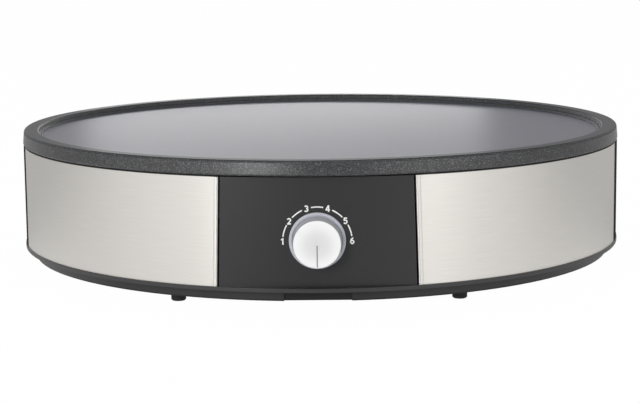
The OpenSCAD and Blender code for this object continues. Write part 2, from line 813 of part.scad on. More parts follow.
module top_ring() {
    color("#1c1c1e")
    difference() {
        rotate_extrude($fn = 180)
            polygon([
                [ring_in_r, z_ring_top], [ring_in_r, z_ring_top - ring_t],
                [band_in_r - ring_t, z_ring_top - ring_t],
                [band_in_r - ring_t, z_ring_top - ring_wall_h],
                [band_in_r, z_ring_top - ring_wall_h], [band_in_r, z_band_top],
                [drum_r - lip_inset, z_band_top], [drum_r - lip_inset, z_ring_top]
            ]);
        slot_pockets(z_ring_top - ring_wall_h - eps, z_ring_top + eps);
        for (a = post_az) translate(at(polar(rivet_r, a), 0))
            screw_hole(rivet_d, z_ring_top - ring_t - eps, z_ring_top + eps);
    }
}

rivet_r = plate_r - skirt_foot_w - rivet_room - rivet_d * head_ratio / 2;
post_screw_r = post_r - post_foot / 2;
z_tab_top = z_ring_top - ring_t;

module ring_post(k) {
    color("silver")
    rotate([0, 0, post_az[k - 1]])
        difference() {
            translate([0, -post_w / 2, 0]) {
                translate([post_r - post_foot, 0, z_floor]) cube([post_foot, post_w, post_t]);
                translate([post_r - post_t, 0, z_floor]) cube([post_t, post_w, z_tab_top - z_floor]);
                translate([post_r - post_t, 0, z_tab_top - post_t]) cube([post_tab, post_w, post_t]);
            }
            translate([post_screw_r, 0, 0]) screw_hole(screw_d, z_floor - eps, z_floor + post_t + eps);
            translate([rivet_r, 0, 0]) screw_hole(rivet_d, z_tab_top - post_t - eps, z_tab_top + eps);
        }
}

module ring_rivets() {
    color("gainsboro")
    for (a = post_az) translate(at(polar(rivet_r, a), z_tab_top - post_t)) {
        translate([0, 0, -rivet_head_h]) cylinder(d = rivet_d * head_ratio, h = rivet_head_h);
        cylinder(d = rivet_d, h = post_t + ring_t);
        translate([0, 0, post_t + ring_t]) cylinder(d = rivet_d * head_ratio, h = rivet_head_h);
    }
}

module post_screws() {
    color("gainsboro")
    for (a = post_az) translate(at(polar(post_screw_r, a), foot_h))
        screw(screw_d, floor_t + post_t + screw_tip);
}

// Two lugs behind the front that reach outwards to y_out
module lugs(y_out) {
    for (x = [-1, 1]) translate([x * panel_screw_x - lug_w / 2, -y_out, z_band])
        cube([lug_w, y_out - y_lug, lug_t]);
}

module lug_holes() {
    for (x = [-1, 1]) translate([x * panel_screw_x, -y_panel_screw, z_band])
        screw_hole(screw_d, -eps, lug_t + eps);
}

module front_panel() {
    color("#2b2b2d")
    difference() {
        union() {
            difference() {
                intersection() {
                    slot_block(-panel_gap);
                    translate([0, panel_r - s_face, z_band]) cylinder(r = panel_r, h = band_h, $fn = 240);
                    translate([-far / 2, -far, z_band]) cube([far, far - y_frame, band_h]);
                }
                intersection() {
                    slot_block(-panel_gap - panel_frame_t, z_band + panel_frame_t, z_band_top - panel_frame_t);
                    translate([0, panel_r - s_face, z_band])
                        cylinder(r = panel_r - panel_t, h = band_h, $fn = 240);
                }
            }
            lugs(y_frame + panel_frame_d / 2);
        }
        lug_holes();
        on_knob_axis() {
            translate([0, 0, -panel_t - panel_frame_d])
                cylinder(r = barrel_d / 2 + seat_clear, h = 2 * panel_t + panel_frame_d);
            translate([0, 0, -lring_seat]) cylinder(r = lring_d / 2 + seat_clear, h = panel_t);
        }
    }
}

// The cover's wall, rebated where it laps over the tray's upstand and the top
// ring's wall, with a tongue behind each band's end
module cover_shell() {
    z_low = z_band + upstand_h + slot_clear;
    z_high = z_ring_top - ring_wall_h - slot_clear;
    difference() {
        rotate_extrude($fn = 180)
            polygon(rounded([
                [band_in_r, z_band], [cover_r, z_band], [cover_r, z_band_top], [band_in_r, z_band_top],
                [band_in_r, z_high], [cover_r - cover_t, z_high], [cover_r - cover_t, z_low], [band_in_r, z_low]
            ], [0, 0, cover_round, 0, 0, 0, 0, 0]));
        translate([-far / 2, -far - band_end - tongue_len, z_band - eps])
            cube([far, far, band_h + 2 * eps]);
        difference() {
            translate([-far / 2, -far - band_end + cover_gap, z_band - eps])
                cube([far, far, band_h + 2 * eps]);
            translate([0, 0, z_band - 2 * eps]) cylinder(r = band_in_r - seat_clear, h = band_h + 4 * eps, $fn = 180);
        }
    }
}

module rear_panel() {
    color("#232325")
    difference() {
        union() {
            cover_shell();
            intersection() {
                translate([0, 0, z_band]) cylinder(r = (band_in_r + cover_r) / 2, h = band_h, $fn = 180);
                union() {
                    on_gland_axis() translate([0, 0, -panel_t])
                        cylinder(d = niche_d + 2 * panel_t, h = far);
                    rotate([0, 0, 180]) lugs(far / 2);
                }
            }
        }
        rotate([0, 0, 180]) lug_holes();
        on_gland_axis() {
            cylinder(d = niche_d, h = far);
            translate([0, 0, -2 * panel_t])
                cylinder(r = gland_barrel_d / 2 + seat_clear, h = 3 * panel_t);
            translate([0, 0, -gland_seat]) cylinder(r = gland_seat_r, h = panel_t);
        }
    }
}

module panel_screws() {
    color("gainsboro")
    for (x = [-1, 1], y = [-1, 1]) translate([x * panel_screw_x, y * y_panel_screw, foot_h + screw_sink])
        screw(screw_d, z_band + lug_t + screw_tip - foot_h - screw_sink);
}

module tray_shell() {
    rotate_extrude($fn = 180)
        polygon([
            [0, foot_h], [skirt_r, foot_h], [skirt_r, z_flange], [flange_r, z_flange],
            [flange_r, z_band], [band_in_r, z_band], [band_in_r, z_band + upstand_h],
            [band_in_r - upstand_t, z_band + upstand_h], [band_in_r - upstand_t, z_band],
            [wall_in_r, z_band], [wall_in_r, z_floor], [0, z_floor]
        ]);
}

module base_tray() {
    color("#202022")
    difference() {
        union() {
            tray_shell();
            translate([-recess_w / 2 - skirt_t, -skirt_r + recess_d, foot_h])
                cube([recess_w + 2 * skirt_t, skirt_t, z_band - foot_h]);
            for (a = tie_az) translate(at(polar(loop_mid_r, a), foot_h))
                cylinder(d = tie_boss_d, h = z_boss - foot_h);
            for (x = [-1, 1], y = [-1, 1]) translate([x * panel_screw_x, y * y_panel_screw, foot_h])
                cylinder(d = panel_boss_d, h = z_band - foot_h);
        }
        slot_pockets(z_band, z_band + upstand_h + eps);
        translate([-recess_w / 2, -skirt_r - recess_d, foot_h - eps])
            cube([recess_w, 2 * recess_d, skirt_h + eps]);
        for (k = [0:vent_count - 1]) rotate([0, 0, 360 * (k + 0.5) / vent_count])
            translate([vent_r, -vent_w / 2, foot_h - eps]) cube([vent_len, vent_w, floor_t + 2 * eps]);
        for (k = [1:foot_count]) translate(at(foot_xy(k), 0))
            screw_hole(stem_d, foot_h - eps, z_floor + eps);
        for (a = tie_az) translate(at(polar(loop_mid_r, a), 0))
            screw_hole(tie_d, foot_h - eps, z_boss + eps);
        for (a = post_az) translate(at(polar(post_screw_r, a), 0))
            screw_hole(screw_d, foot_h - eps, z_floor + eps);
        for (x = [-1, 1], y = [-1, 1]) translate([x * panel_screw_x, y * y_panel_screw, 0]) {
            screw_hole(screw_d, foot_h - eps, z_band + eps);
            screw_hole(head_d, foot_h - eps, foot_h + screw_sink);
        }
        for (x = [-1, 1]) translate([x * bracket_screw_x, -y_bracket_screw, 0])
            screw_hole(screw_d, foot_h - eps, z_floor + eps);
        for (x = [-1, 1]) translate([x * block_x, block_y, 0])
            screw_hole(screw_d, foot_h - eps, z_floor + eps);
    }
}

function foot_xy(k) = polar(foot_r, 360 * (k - 1) / foot_count);

module foot(k) {
    z_collar = foot_h - foot_collar_h;
    color("#161616")
    translate(at(foot_xy(k), 0)) {
        rotate_extrude($fn = 48)
            polygon([
                [0, 0], [foot_d / 2 - foot_chamfer, 0], [foot_d / 2, foot_chamfer],
                [foot_d / 2, z_collar], [foot_collar_d / 2, z_collar + (foot_collar_d - foot_d) / 2],
                [foot_collar_d / 2, foot_h], [0, foot_h]
            ]);
        cylinder(d = stem_d, h = z_floor, $fn = 48);
        translate([0, 0, z_floor]) cylinder(d1 = barb_d, d2 = stem_d, h = barb_h, $fn = 48);
    }
}

module light_ring() {
    color("thistle")
    on_knob_axis() rotate_extrude()
        polygon([
            [lring_bore / 2, s_barrel], [barrel_d / 2, s_barrel], [barrel_d / 2, -lring_seat],
            [lring_d / 2, -lring_seat], [lring_d / 2, s_ring - lring_bevel],
            [lring_d / 2 - lring_bevel, s_ring], [lring_bore / 2, s_ring]
        ]);
}

module lamp_board() {
    lamp_r = (barrel_d + lring_bore) / 4;
    color("darkgreen")
    on_knob_axis() {
        translate([0, 0, s_bracket]) tube(board_d / 2, lring_bore / 2, board_t);
        for (k = [0:lamp_count - 1]) rotate([0, 0, 360 * (k + 0.5) / lamp_count])
            translate([lamp_r - lamp_w / 2, -lamp_w / 2, s_board]) cube([lamp_w, lamp_w, lamp_t]);
    }
}

y_bracket = s_face + s_bracket;
y_bracket_screw = y_bracket - bracket_foot + head_d / 2;

module thermostat_bracket() {
    color("silver")
    difference() {
        union() {
            translate([-bracket_w / 2, -y_bracket, z_floor])
                cube([bracket_w, bracket_t, z_knob + bracket_rise - z_floor]);
            translate([-bracket_w / 2, -y_bracket, z_floor]) cube([bracket_w, bracket_foot, bracket_t]);
        }
        on_knob_axis() translate([0, 0, s_case - eps])
            cylinder(r = bush_d / 2 + seat_clear, h = bracket_t + 2 * eps);
        for (x = [-1, 1]) translate([x * bracket_screw_x, -y_bracket_screw, 0])
            screw_hole(screw_d, z_floor - eps, z_floor + bracket_t + eps);
    }
}

module bracket_screws() {
    color("gainsboro")
    for (x = [-1, 1]) translate([x * bracket_screw_x, -y_bracket_screw, foot_h])
        screw(screw_d, floor_t + bracket_t + screw_tip);
}

s_collar = s_case - collar_depth;
s_bore = s_case - spindle_reach;

module thermostat_case() {
    color("lightgray")
    on_knob_axis() difference() {
        union() {
            translate([-case_w / 2, -case_w / 2, s_base]) cube([case_w, case_w, case_t]);
            translate([0, 0, s_case - eps]) cylinder(d = bush_d, h = bush_len + eps);
            translate([stub_x, case_w / 2 - eps, s_base + case_t / 2]) rotate([-90, 0, 0])
                cylinder(d = stub_d, h = stub_h + eps, $fn = 32);
        }
        translate([0, 0, s_bore])
            cylinder(r = spindle_d / 2 + spindle_clear, h = spindle_reach + bush_len + eps);
        translate([0, 0, s_collar - collar_room])
            cylinder(r = collar_d / 2 + collar_room, h = collar_t + 2 * collar_room);
    }
}

module blade() {
    translate([-tab_w / 2, -tab_t / 2, -tab_len]) cube([tab_w, tab_t, tab_len + eps]);
}

module thermostat_base() {
    side = case_w - 2 * base_inset;
    color("ivory")
    on_knob_axis() {
        translate([-side / 2, -side / 2, s_tabs]) cube([side, side, base_t]);
        for (x = [-1, 1], y = [-1, 1]) translate([x * blade_x, y * blade_y, s_tabs]) blade();
    }
}

module thermostat_nut() {
    color("goldenrod")
    on_knob_axis() translate([0, 0, s_bracket]) difference() {
        cylinder(r = nut_af / 2 / cos(30), h = nut_t, $fn = 6);
        translate([0, 0, -eps]) cylinder(r = bush_d / 2 + seat_clear, h = nut_t + 2 * eps);
    }
}

// A round bar with a flat along its upper part, from s_low to s_high
module flatted(r, flat, s_low, s_high) {
    translate([0, 0, s_low]) difference() {
        cylinder(r = r, h = s_high - s_low);
        translate([-r, flat, -eps]) cube([2 * r, r, s_high - s_low + 2 * eps]);
    }
}

flat_y = spindle_d / 2 - spindle_flat;
s_spindle = s_hub - knob_clear;

module thermostat_spindle() {
    s_low = s_bore + collar_room;
    color("silver")
    on_knob_axis() {
        translate([0, 0, s_low]) cylinder(d = spindle_d, h = s_knob - s_low);
        flatted(spindle_d / 2, flat_y, s_knob - eps, s_spindle);
        translate([0, 0, s_collar]) cylinder(d = collar_d, h = collar_t);
    }
}

module knob_body() {
    back_r = knob_back_d / 2;
    face_r = knob_face_d / 2;
    color("darkgray")
    on_knob_axis() {
        rotate_extrude()
            polygon([
                [back_r - knob_wall, s_knob], [back_r, s_knob], [face_r, s_cap],
                [0, s_cap], [0, s_hub], [face_r - knob_wall, s_hub]
            ]);
        difference() {
            translate([0, 0, s_knob]) cylinder(d = hub_d, h = s_hub - s_knob + eps);
            flatted(spindle_d / 2 + spindle_clear, flat_y + spindle_clear, s_knob - eps, s_hub);
        }
        for (a = [0, 90, 180, 270]) rotate([0, 0, a])
            translate([hub_d / 2 - web_t / 2, -web_t / 2, s_web])
                cube([face_r - knob_wall / 2 - hub_d / 2, web_t, s_hub - s_web + eps]);
    }
}

s_web = s_hub - web_h;

module knob_spring() {
    color("silver")
    on_knob_axis() translate([0, 0, s_knob + spring_t])
        rotate_extrude(angle = 360 - spring_gap, start = 90 + spring_gap / 2)
            translate([hub_d / 2, 0]) square([spring_t, spring_w]);
}

module knob_cap() {
    face_r = knob_face_d / 2;
    color("whitesmoke")
    on_knob_axis() difference() {
        rotate_extrude()
            polygon(rounded(
                [[0, s_cap], [face_r, s_cap], [face_r, knob_proud], [0, knob_proud]],
                [0, 0, cap_round, 0]));
        translate([-pointer_w / 2, -face_r + cap_round, knob_proud - pointer_d])
            cube([pointer_w, face_r - cap_round - pointer_w, pointer_d + eps]);
    }
}

z_clip = z_bulb - bulb_d / 2 - clip_t;

module sensor_bulb() {
    color("peru")
    translate([bulb_x, -y_bulb, z_bulb]) rotate([0, 90, 0]) cylinder(d = bulb_d, h = bulb_len, $fn = 48);
}

module bulb_clip() {
    color("silver")
    difference() {
        translate([bulb_x + (bulb_len - clip_len) / 2, -y_bulb - clip_w / 2, z_clip])
            cube([clip_len, clip_w / 2 + bulb_d / 2 + clip_lip, z_under - z_clip]);
        translate([bulb_x, -y_bulb, z_bulb]) rotate([0, 90, 0])
            cylinder(r = bulb_d / 2 + screw_clear, h = bulb_len, $fn = 48);
        translate([bulb_x + (bulb_len - clip_len) / 2 - eps, -y_bulb - bulb_d / 2 - screw_clear, z_bulb])
            cube([clip_len + 2 * eps, bulb_d + 2 * screw_clear, bulb_d]);
        translate([bulb_x + bulb_len / 2, -y_bulb - clip_w / 2 + head_d / 2, 0])
            screw_hole(screw_d, z_clip - eps, z_under + eps);
    }
}

// From the case's stub over the shield's wall, under the outer loop, to the bulb
module capillary_tube() {
    stub = [stub_x, -s_face - s_base - case_t / 2, z_knob + case_w / 2 + stub_h];
    z_over = z_shield + shield_wall_h + capillary_d;
    x_end = bulb_x + bulb_len;
    color("peru")
    wire([
        stub, stub + [0, 0, 2], [stub.x + 2, stub.y + 2, z_over - 1], [stub.x + 8, stub.y + 8, z_over],
        at(polar(shield_r + 6, -77), z_over), at(polar(shield_r, -73), z_over),
        at(polar(elem_outer_r + elem_w / 2 + 2, -69), z_over - 0.4),
        at(polar(elem_outer_r - elem_w / 2, -64), z_clamp - 2 * capillary_d),
        [x_end + 4, -y_bulb - 3, z_clamp - capillary_d], [x_end + 4.5, -y_bulb, z_bulb - 3],
        [x_end + 2.5, -y_bulb, z_bulb], [x_end, -y_bulb, z_bulb]
    ], capillary_d);
}

z_strap = z_under - 2 * cutout_flange_t;

module thermal_cutout() {
    color("#3a2a22") {
        translate([0, 0, z_cutout]) cylinder(d = cutout_flange_d, h = cutout_flange_t);
        translate([0, 0, z_tab]) cylinder(d = cutout_d, h = cutout_h + eps);
        for (x = [-1, 1]) translate([x * cutout_blade_x, 0, z_tab]) rotate([0, 0, 90]) blade();
    }
}

// A flat strap with a ring that holds the cut-out's flange against the plate
module cutout_strap() {
    half_len = strap_screw_x + head_d / 2;
    color("silver")
    difference() {
        union() {
            translate([-half_len, -strap_w / 2, z_strap]) cube([2 * half_len, strap_w, cutout_flange_t]);
            for (x = [-1, 1]) translate([x * (half_len + cutout_flange_d / 2) / 2, 0, z_cutout])
                translate([-(half_len - cutout_flange_d / 2) / 2, -strap_w / 2, 0])
                    cube([half_len - cutout_flange_d / 2, strap_w, cutout_flange_t]);
            translate([0, 0, z_strap]) cylinder(d = cutout_flange_d, h = cutout_flange_t);
        }
        translate([0, 0, z_strap - eps]) cylinder(d = cutout_d + 2 * seat_clear, h = cutout_flange_t + 2 * eps);
        translate([0, 0, z_cutout]) cylinder(d = cutout_flange_d + 2 * seat_clear, h = 2 * cutout_flange_t);
        for (x = [-1, 1]) translate([x * strap_screw_x, 0, 0])
            screw_hole(screw_d, z_strap - eps, z_under + eps);
    }
}

gland_seat_r = gland_af / 2 / cos(30) + gland_rim;

module cord_gland() {
    color("#1a1a1a")
    on_gland_axis() difference() {
        union() {
            translate([0, 0, -panel_t - gland_tail])
                cylinder(d = gland_barrel_d, h = panel_t + gland_tail);
            translate([0, 0, -gland_seat]) cylinder(r = gland_af / 2 / cos(30), h = gland_hex_t, $fn = 6);
            translate([0, 0, gland_hex_t - gland_seat - eps])
                cylinder(d1 = gland_af, d2 = gland_mouth_d, h = gland_proud - gland_hex_t + gland_seat + eps);
        }
        translate([0, 0, -panel_t - gland_tail - eps])
            cylinder(d = gland_bore, h = panel_t + gland_tail + gland_proud + 2 * eps);
    }
}

module gland_nut() {
    color("#1a1a1a")
    on_gland_axis() translate([0, 0, -panel_t - gland_nut_t]) difference() {
        cylinder(r = gland_af / 2 / cos(30), h = gland_nut_t, $fn = 6);
        translate([0, 0, -eps]) cylinder(r = gland_barrel_d / 2 + seat_clear, h = gland_nut_t + 2 * eps);
    }
}

pole_step = block_w / pole_count;
function pole_x(k) = block_x + (k - (pole_count - 1) / 2) * pole_step;

module terminal_block() {
    color("ivory")
    difference() {
        translate([block_x - block_w / 2, block_y - block_d / 2, z_floor]) {
            cube([block_w, block_d, block_h]);
            for (k = [0:pole_count])
                translate([k * (block_w - barrier_w) / pole_count, 0, block_h - eps])
                    cube([barrier_w, block_d, barrier_h + eps]);
        }
        translate([block_x, block_y, 0]) screw_hole(screw_d, z_floor - eps, z_floor + block_bite + screw_clear);
    }
}

module terminal_screws() {
    color("goldenrod") {
        for (k = [0:pole_count - 1], y = [-1, 1])
            translate([pole_x(k), block_y + y * pole_screw_y, z_floor + block_h])
                cylinder(d = pole_screw_d, h = pole_screw_h, $fn = 32);
        for (x = [-1, 1]) translate([x * block_x, block_y, foot_h])
            screw(screw_d, floor_t + block_bite);
    }
}

// Ends of the wires: where each one meets its blade, pin or pole
function blade_end(x, y) = [x * blade_x, -s_face - s_tabs + tab_len, z_knob + y * blade_y];
function pole_end(k) = [pole_x(k), block_y - block_d / 2, z_floor + block_h / 2];
function pin_end(r) = at(terminal_xy(r), z_leg - pin_len);
function cutout_end(x) = [x * cutout_blade_x, 0, z_tab - tab_len];
z_run = z_floor + wire_rise;

module wire_live() {
    a = blade_end(1, -1);
    b = pole_end(2);
    color("saddlebrown")
    wire([a, a + [0, 6, 0], [a.x + 6, a.y + 24, z_run + 6], [30, -60, z_run], [44, 20, z_run],
        [b.x, b.y - 30, z_run], b - [0, 6, 0], b], wire_d);
}

module wire_switched() {
    a = blade_end(-1, -1);
    b = cutout_end(-1);
    color("black")
    wire([a, a + [0, 6, 0], [a.x, a.y + 30, z_run + 8], [-8, -40, z_run + 14], [b.x, -10, b.z - 22],
        b - [0, 0, 8], b], wire_d);
}

module wire_heater() {
    a = cutout_end(1);
    b = pin_end(elem_outer_r);
    color("black")
    wire([a, a - [0, 0, 8], [6, 12, a.z - 24], [4, 60, z_run + 16], [-8, 106, z_run + 12],
        [b.x, b.y - 7, b.z - 13], b - [0, 0, 6], b], wire_d);
}

module wire_neutral() {
    a = pole_end(1);
    b = pin_end(elem_inner_r);
    color("royalblue")
    wire([a, a - [0, 6, 0], [a.x - 3, a.y - 24, z_run], [18, 90, z_run], [b.x + 8, b.y, z_run + 4],
        b - [0, 0, 8], b], wire_d);
}

module wire_earth() {
    a = pole_end(0);
    b = [-block_x, block_y, z_floor + block_bite];
    color("yellowgreen")
    wire([a, a - [0, 6, 0], [a.x - 14, a.y - 10, z_run], [-16, a.y - 6, z_run],
        [b.x + 6, b.y - 8, b.z + 9], b + [0, 0, 5], b], wire_d);
}

cooking_plate();
heating_element();
for (k = [1:3]) element_clamp(k);
clamp_screws();
heat_shield();
for (k = [1:4]) upper_spacer(k);
for (k = [1:4]) lower_spacer(k);
tie_screws();
side_band_left();
side_band_right();
top_ring();
for (k = [1:4]) ring_post(k);
ring_rivets();
post_screws();
front_panel();
rear_panel();
panel_screws();
base_tray();
for (k = [1:foot_count]) foot(k);
light_ring();
lamp_board();
thermostat_bracket();
bracket_screws();
thermostat_case();
thermostat_base();
thermostat_nut();
thermostat_spindle();
knob_body();
knob_cap();
knob_spring();
sensor_bulb();
capillary_tube();
bulb_clip();
thermal_cutout();
cutout_strap();
cord_gland();
gland_nut();
terminal_block();
terminal_screws();
wire_live();
wire_switched();
wire_heater();
wire_neutral();
wire_earth();
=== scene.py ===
# %% [markdown]
# # An electric crepe maker, dressed for a studio picture
# The housing, the plate, the knob and everything inside them arrive as a finished
# engineering model. This lesson gives that model its looks: the speckled coating of the
# cast plate, the brushed steel of the drum, the satin black mouldings and the printed dial.
# Every length is in metres, +Z is up and the control panel looks towards -Y.

# %% Load the engineering model
import json
from math import asin, atan2, cos, hypot, pi, radians, sin, sqrt, tan

import bmesh
import bpy
from mathutils import Matrix, Vector


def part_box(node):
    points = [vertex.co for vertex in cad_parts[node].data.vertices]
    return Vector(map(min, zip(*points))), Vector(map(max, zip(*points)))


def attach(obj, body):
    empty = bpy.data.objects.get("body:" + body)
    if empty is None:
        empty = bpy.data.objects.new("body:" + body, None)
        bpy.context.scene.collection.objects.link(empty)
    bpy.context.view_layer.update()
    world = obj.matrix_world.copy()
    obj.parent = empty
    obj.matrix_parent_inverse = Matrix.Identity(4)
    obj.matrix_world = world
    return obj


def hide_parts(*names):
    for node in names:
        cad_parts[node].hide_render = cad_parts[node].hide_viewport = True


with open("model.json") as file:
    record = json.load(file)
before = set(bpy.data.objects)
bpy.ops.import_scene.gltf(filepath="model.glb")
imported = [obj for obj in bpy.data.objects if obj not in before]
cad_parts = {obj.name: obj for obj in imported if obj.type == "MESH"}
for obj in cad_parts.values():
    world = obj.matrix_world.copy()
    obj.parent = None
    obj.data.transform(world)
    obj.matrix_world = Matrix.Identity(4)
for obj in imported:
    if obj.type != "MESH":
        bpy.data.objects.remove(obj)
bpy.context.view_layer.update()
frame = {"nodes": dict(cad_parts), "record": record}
MM = 0.001

# %% [markdown]
# ## The camera
# The camera looks from a little above the rim and from far away, through a long lens, so
# that the ellipses stay calm and the near edge is hardly larger than the far one. It is
# tilted down and turned a hair about its own axis, as a hand-set tripod is.

# %% Camera
CAMERA_AT = Vector((15.0, -1262.8, 234.0)) * MM
CAMERA_PITCH = radians(8.87)
CAMERA_YAW = radians(0.71)
CAMERA_ROLL = radians(-0.635)
LENS, SENSOR_WIDTH = 104.44, 36.0  # both in millimetres, as Blender wants them
camera_data = bpy.data.cameras.new("studio_camera")
camera_data.lens = LENS
camera_data.sensor_width = SENSOR_WIDTH
camera = bpy.data.objects.new("studio_camera", camera_data)
bpy.context.scene.collection.objects.link(camera)
turn = Matrix.Rotation(CAMERA_YAW, 4, "Z") @ Matrix.Rotation(pi / 2 - CAMERA_PITCH, 4, "X")
roll = Matrix.Rotation(CAMERA_ROLL, 4, "Z")
camera.matrix_world = Matrix.Translation(CAMERA_AT) @ turn @ roll
bpy.context.scene.camera = camera
print("camera", round(CAMERA_AT.length / MM), "mm from the origin")

# %% [markdown]
# ## Floor, room and lamps
# The room is a white one and the floor is a sheet of pale paper. Seen by the camera the paper
# is lifted so near to white that only a trace of the tray's shadow is left. Shiny surfaces see
# a studio instead. Its floor is dimmer straight in front, bright on both sides of that, and
# grey beside the object. Its walls are dark straight in front and at the sides, and bright
# between. The bands and the panel mirror the floor, the plate's side mirrors the walls, and
# those slow changes of tone are what makes steel and black plastic look round. A list of
# stops is enough for that: each gives a direction, from 0 at the front to 1 at the back, and
# a grey. The bright walls are a little over white, because the plate's coat is so dark.

# %% Stage helpers
def link_piece(obj):
    bpy.context.scene.collection.objects.link(obj)
    return obj


def node_tree(material):
    material.use_nodes = True
    tree = material.node_tree
    tree.nodes.clear()
    return tree


def add_node(tree, kind, **settings):
    node = tree.nodes.new("ShaderNode" + kind)
    for key, value in settings.items():
        setattr(node, key, value)
    return node


def math_node(tree, operation, *values):
    node = add_node(tree, "Math", operation=operation)
    for socket, value in zip(node.inputs, values):
        if isinstance(value, (int, float)):
            socket.default_value = value
        else:
            tree.links.new(value, socket)
    return node.outputs[0]


def mix_shaders(tree, share, first, second):
    blend = add_node(tree, "MixShader")
    tree.links.new(share, blend.inputs[0])
    tree.links.new(first.outputs[0], blend.inputs[1])
    tree.links.new(second.outputs[0], blend.inputs[2])
    return blend


def tone_curve(tree, value, stops):
    """stops: (position, grey) pairs; gives a grey that changes smoothly from one to the next."""
    ramp = add_node(tree, "ValToRGB")
    ramp.color_ramp.interpolation = "B_SPLINE"
    marks = ramp.color_ramp.elements
    while len(marks) < len(stops):
        marks.new(0.5)
    for mark, (position, grey) in zip(marks, stops):
        mark.position = position
        mark.color = (grey, grey, grey, 1)
    tree.links.new(value, ramp.inputs[0])
    return ramp.outputs[0]


ROOM_TURN = radians(4)  # the room stands a little askew to the object


def turned_from_front(tree, space):
    """0 for a direction towards the front, 1 for one towards the back."""
    place = add_node(tree, "SeparateXYZ")
    tree.links.new(add_node(tree, "TexCoord").outputs[space], place.inputs[0])
    forwards = math_node(tree, "MULTIPLY", place.outputs["Y"], -1.0)
    compass = math_node(tree, "ARCTAN2", place.outputs["X"], forwards)
    angle = math_node(tree, "ADD", compass, ROOM_TURN)
    return math_node(tree, "DIVIDE", math_node(tree, "ABSOLUTE", angle), pi)


# %% Floor
FLOOR_HALF = 9.0
CAMERA_WHITE = 0.99
FLOOR_SHEEN = 0.87
PAPER_GREY = 0.80
FLOOR_TONES = [(0.0, 0.49), (0.05, 0.54), (0.13, 0.86), (0.22, 0.92), (0.33, 1.0), (0.46, 0.79),
               (0.60, 0.40), (0.68, 0.50), (0.76, 0.42), (0.86, 0.50), (1.0, 1.0)]
floor_mesh = bpy.data.meshes.new("floor")
floor_corners = [(x * FLOOR_HALF, y * FLOOR_HALF, 0)
                 for x, y in ((-1, -1), (1, -1), (1, 1), (-1, 1))]
floor_mesh.from_pydata(floor_corners, [], [(0, 1, 2, 3)])
floor = link_piece(bpy.data.objects.new("floor", floor_mesh))
floor_finish = bpy.data.materials.new("floor_paper")
tree = node_tree(floor_finish)
rays = add_node(tree, "LightPath").outputs
paper = add_node(tree, "BsdfDiffuse")
paper.inputs["Color"].default_value = (PAPER_GREY, PAPER_GREY, PAPER_GREY, 1)
sheen = add_node(tree, "Emission")
floor_tone = tone_curve(tree, turned_from_front(tree, "Object"), FLOOR_TONES)
tree.links.new(floor_tone, sheen.inputs["Color"])
white = add_node(tree, "Emission")
in_gloss = math_node(tree, "MULTIPLY", rays["Is Glossy Ray"], FLOOR_SHEEN)
seen = math_node(tree, "MAXIMUM", rays["Is Camera Ray"], rays["Is Transmission Ray"])
in_view = math_node(tree, "MULTIPLY", seen, CAMERA_WHITE)
ground = mix_shaders(tree, in_view, mix_shaders(tree, in_gloss, paper, sheen), white)
tree.links.new(ground.outputs[0], add_node(tree, "OutputMaterial").inputs["Surface"])
floor_mesh.materials.append(floor_finish)
print("floor", 2 * FLOOR_HALF, "m across,", len(FLOOR_TONES), "stops of tone")

# %% Room
ROOM_GREY, WALL_STRENGTH = 0.42, 1.32
WALL_TONES = [(0.0, 0.0), (0.05, 0.02), (0.12, 0.46), (0.19, 0.98), (0.30, 0.98), (0.45, 0.54),
              (0.58, 0.27), (0.70, 0.62), (0.80, 1.0), (0.90, 0.58), (0.94, 0.60), (1.0, 0.54)]
world = bpy.data.worlds.new("white_room")
bpy.context.scene.world = world
world.use_nodes = True
tree = world.node_tree
tree.nodes.clear()
rays = add_node(tree, "LightPath").outputs
room = add_node(tree, "Background")
room.inputs["Color"].default_value = (ROOM_GREY, ROOM_GREY, ROOM_GREY, 1)
walls = add_node(tree, "Background")
wall_tone = tone_curve(tree, turned_from_front(tree, "Generated"), WALL_TONES)
tree.links.new(wall_tone, walls.inputs["Color"])
walls.inputs["Strength"].default_value = WALL_STRENGTH
white = add_node(tree, "Background")
white.inputs["Color"].default_value = (CAMERA_WHITE, CAMERA_WHITE, CAMERA_WHITE, 1)
in_view = math_node(tree, "MAXIMUM", rays["Is Camera Ray"], rays["Is Transmission Ray"])
mirrored = mix_shaders(tree, rays["Is Glossy Ray"], room, walls)
surroundings = mix_shaders(tree, in_view, mirrored, white)
tree.links.new(surroundings.outputs[0], add_node(tree, "OutputWorld").inputs["Surface"])
bpy.context.scene.view_settings.view_transform = "Standard"
print("room with", len(WALL_TONES), "stops of tone")

# %% [markdown]
# ### Lamps
# Four soft lamps stand in that room. Two in front model the knob and the flakes of the
# coating, one hangs above, and a low, wide one close behind the plate lies in the cooking
# surface as a long pale glow: at so flat an angle even a dark film mirrors what is behind it.
# The camera doesn't see them. Area lamps are the plain choice for light with soft edges.


# %% Lamps
def soft_lamp(name, at, aim, width, height, watts, tilt):
    """at and aim are points in metres; tilt turns the lamp about its own axis, in degrees."""
    data = bpy.data.lights.new(name, "AREA")
    data.shape = "RECTANGLE"
    data.size, data.size_y, data.energy = width, height, watts
    lamp = link_piece(bpy.data.objects.new(name, data))
    lamp.location = at
    lamp.visible_camera = False
    facing = (Vector(aim) - Vector(at)).to_track_quat("-Z", "Y").to_matrix()
    lamp.rotation_euler = (facing @ Matrix.Rotation(radians(tilt), 3, "Z")).to_euler()


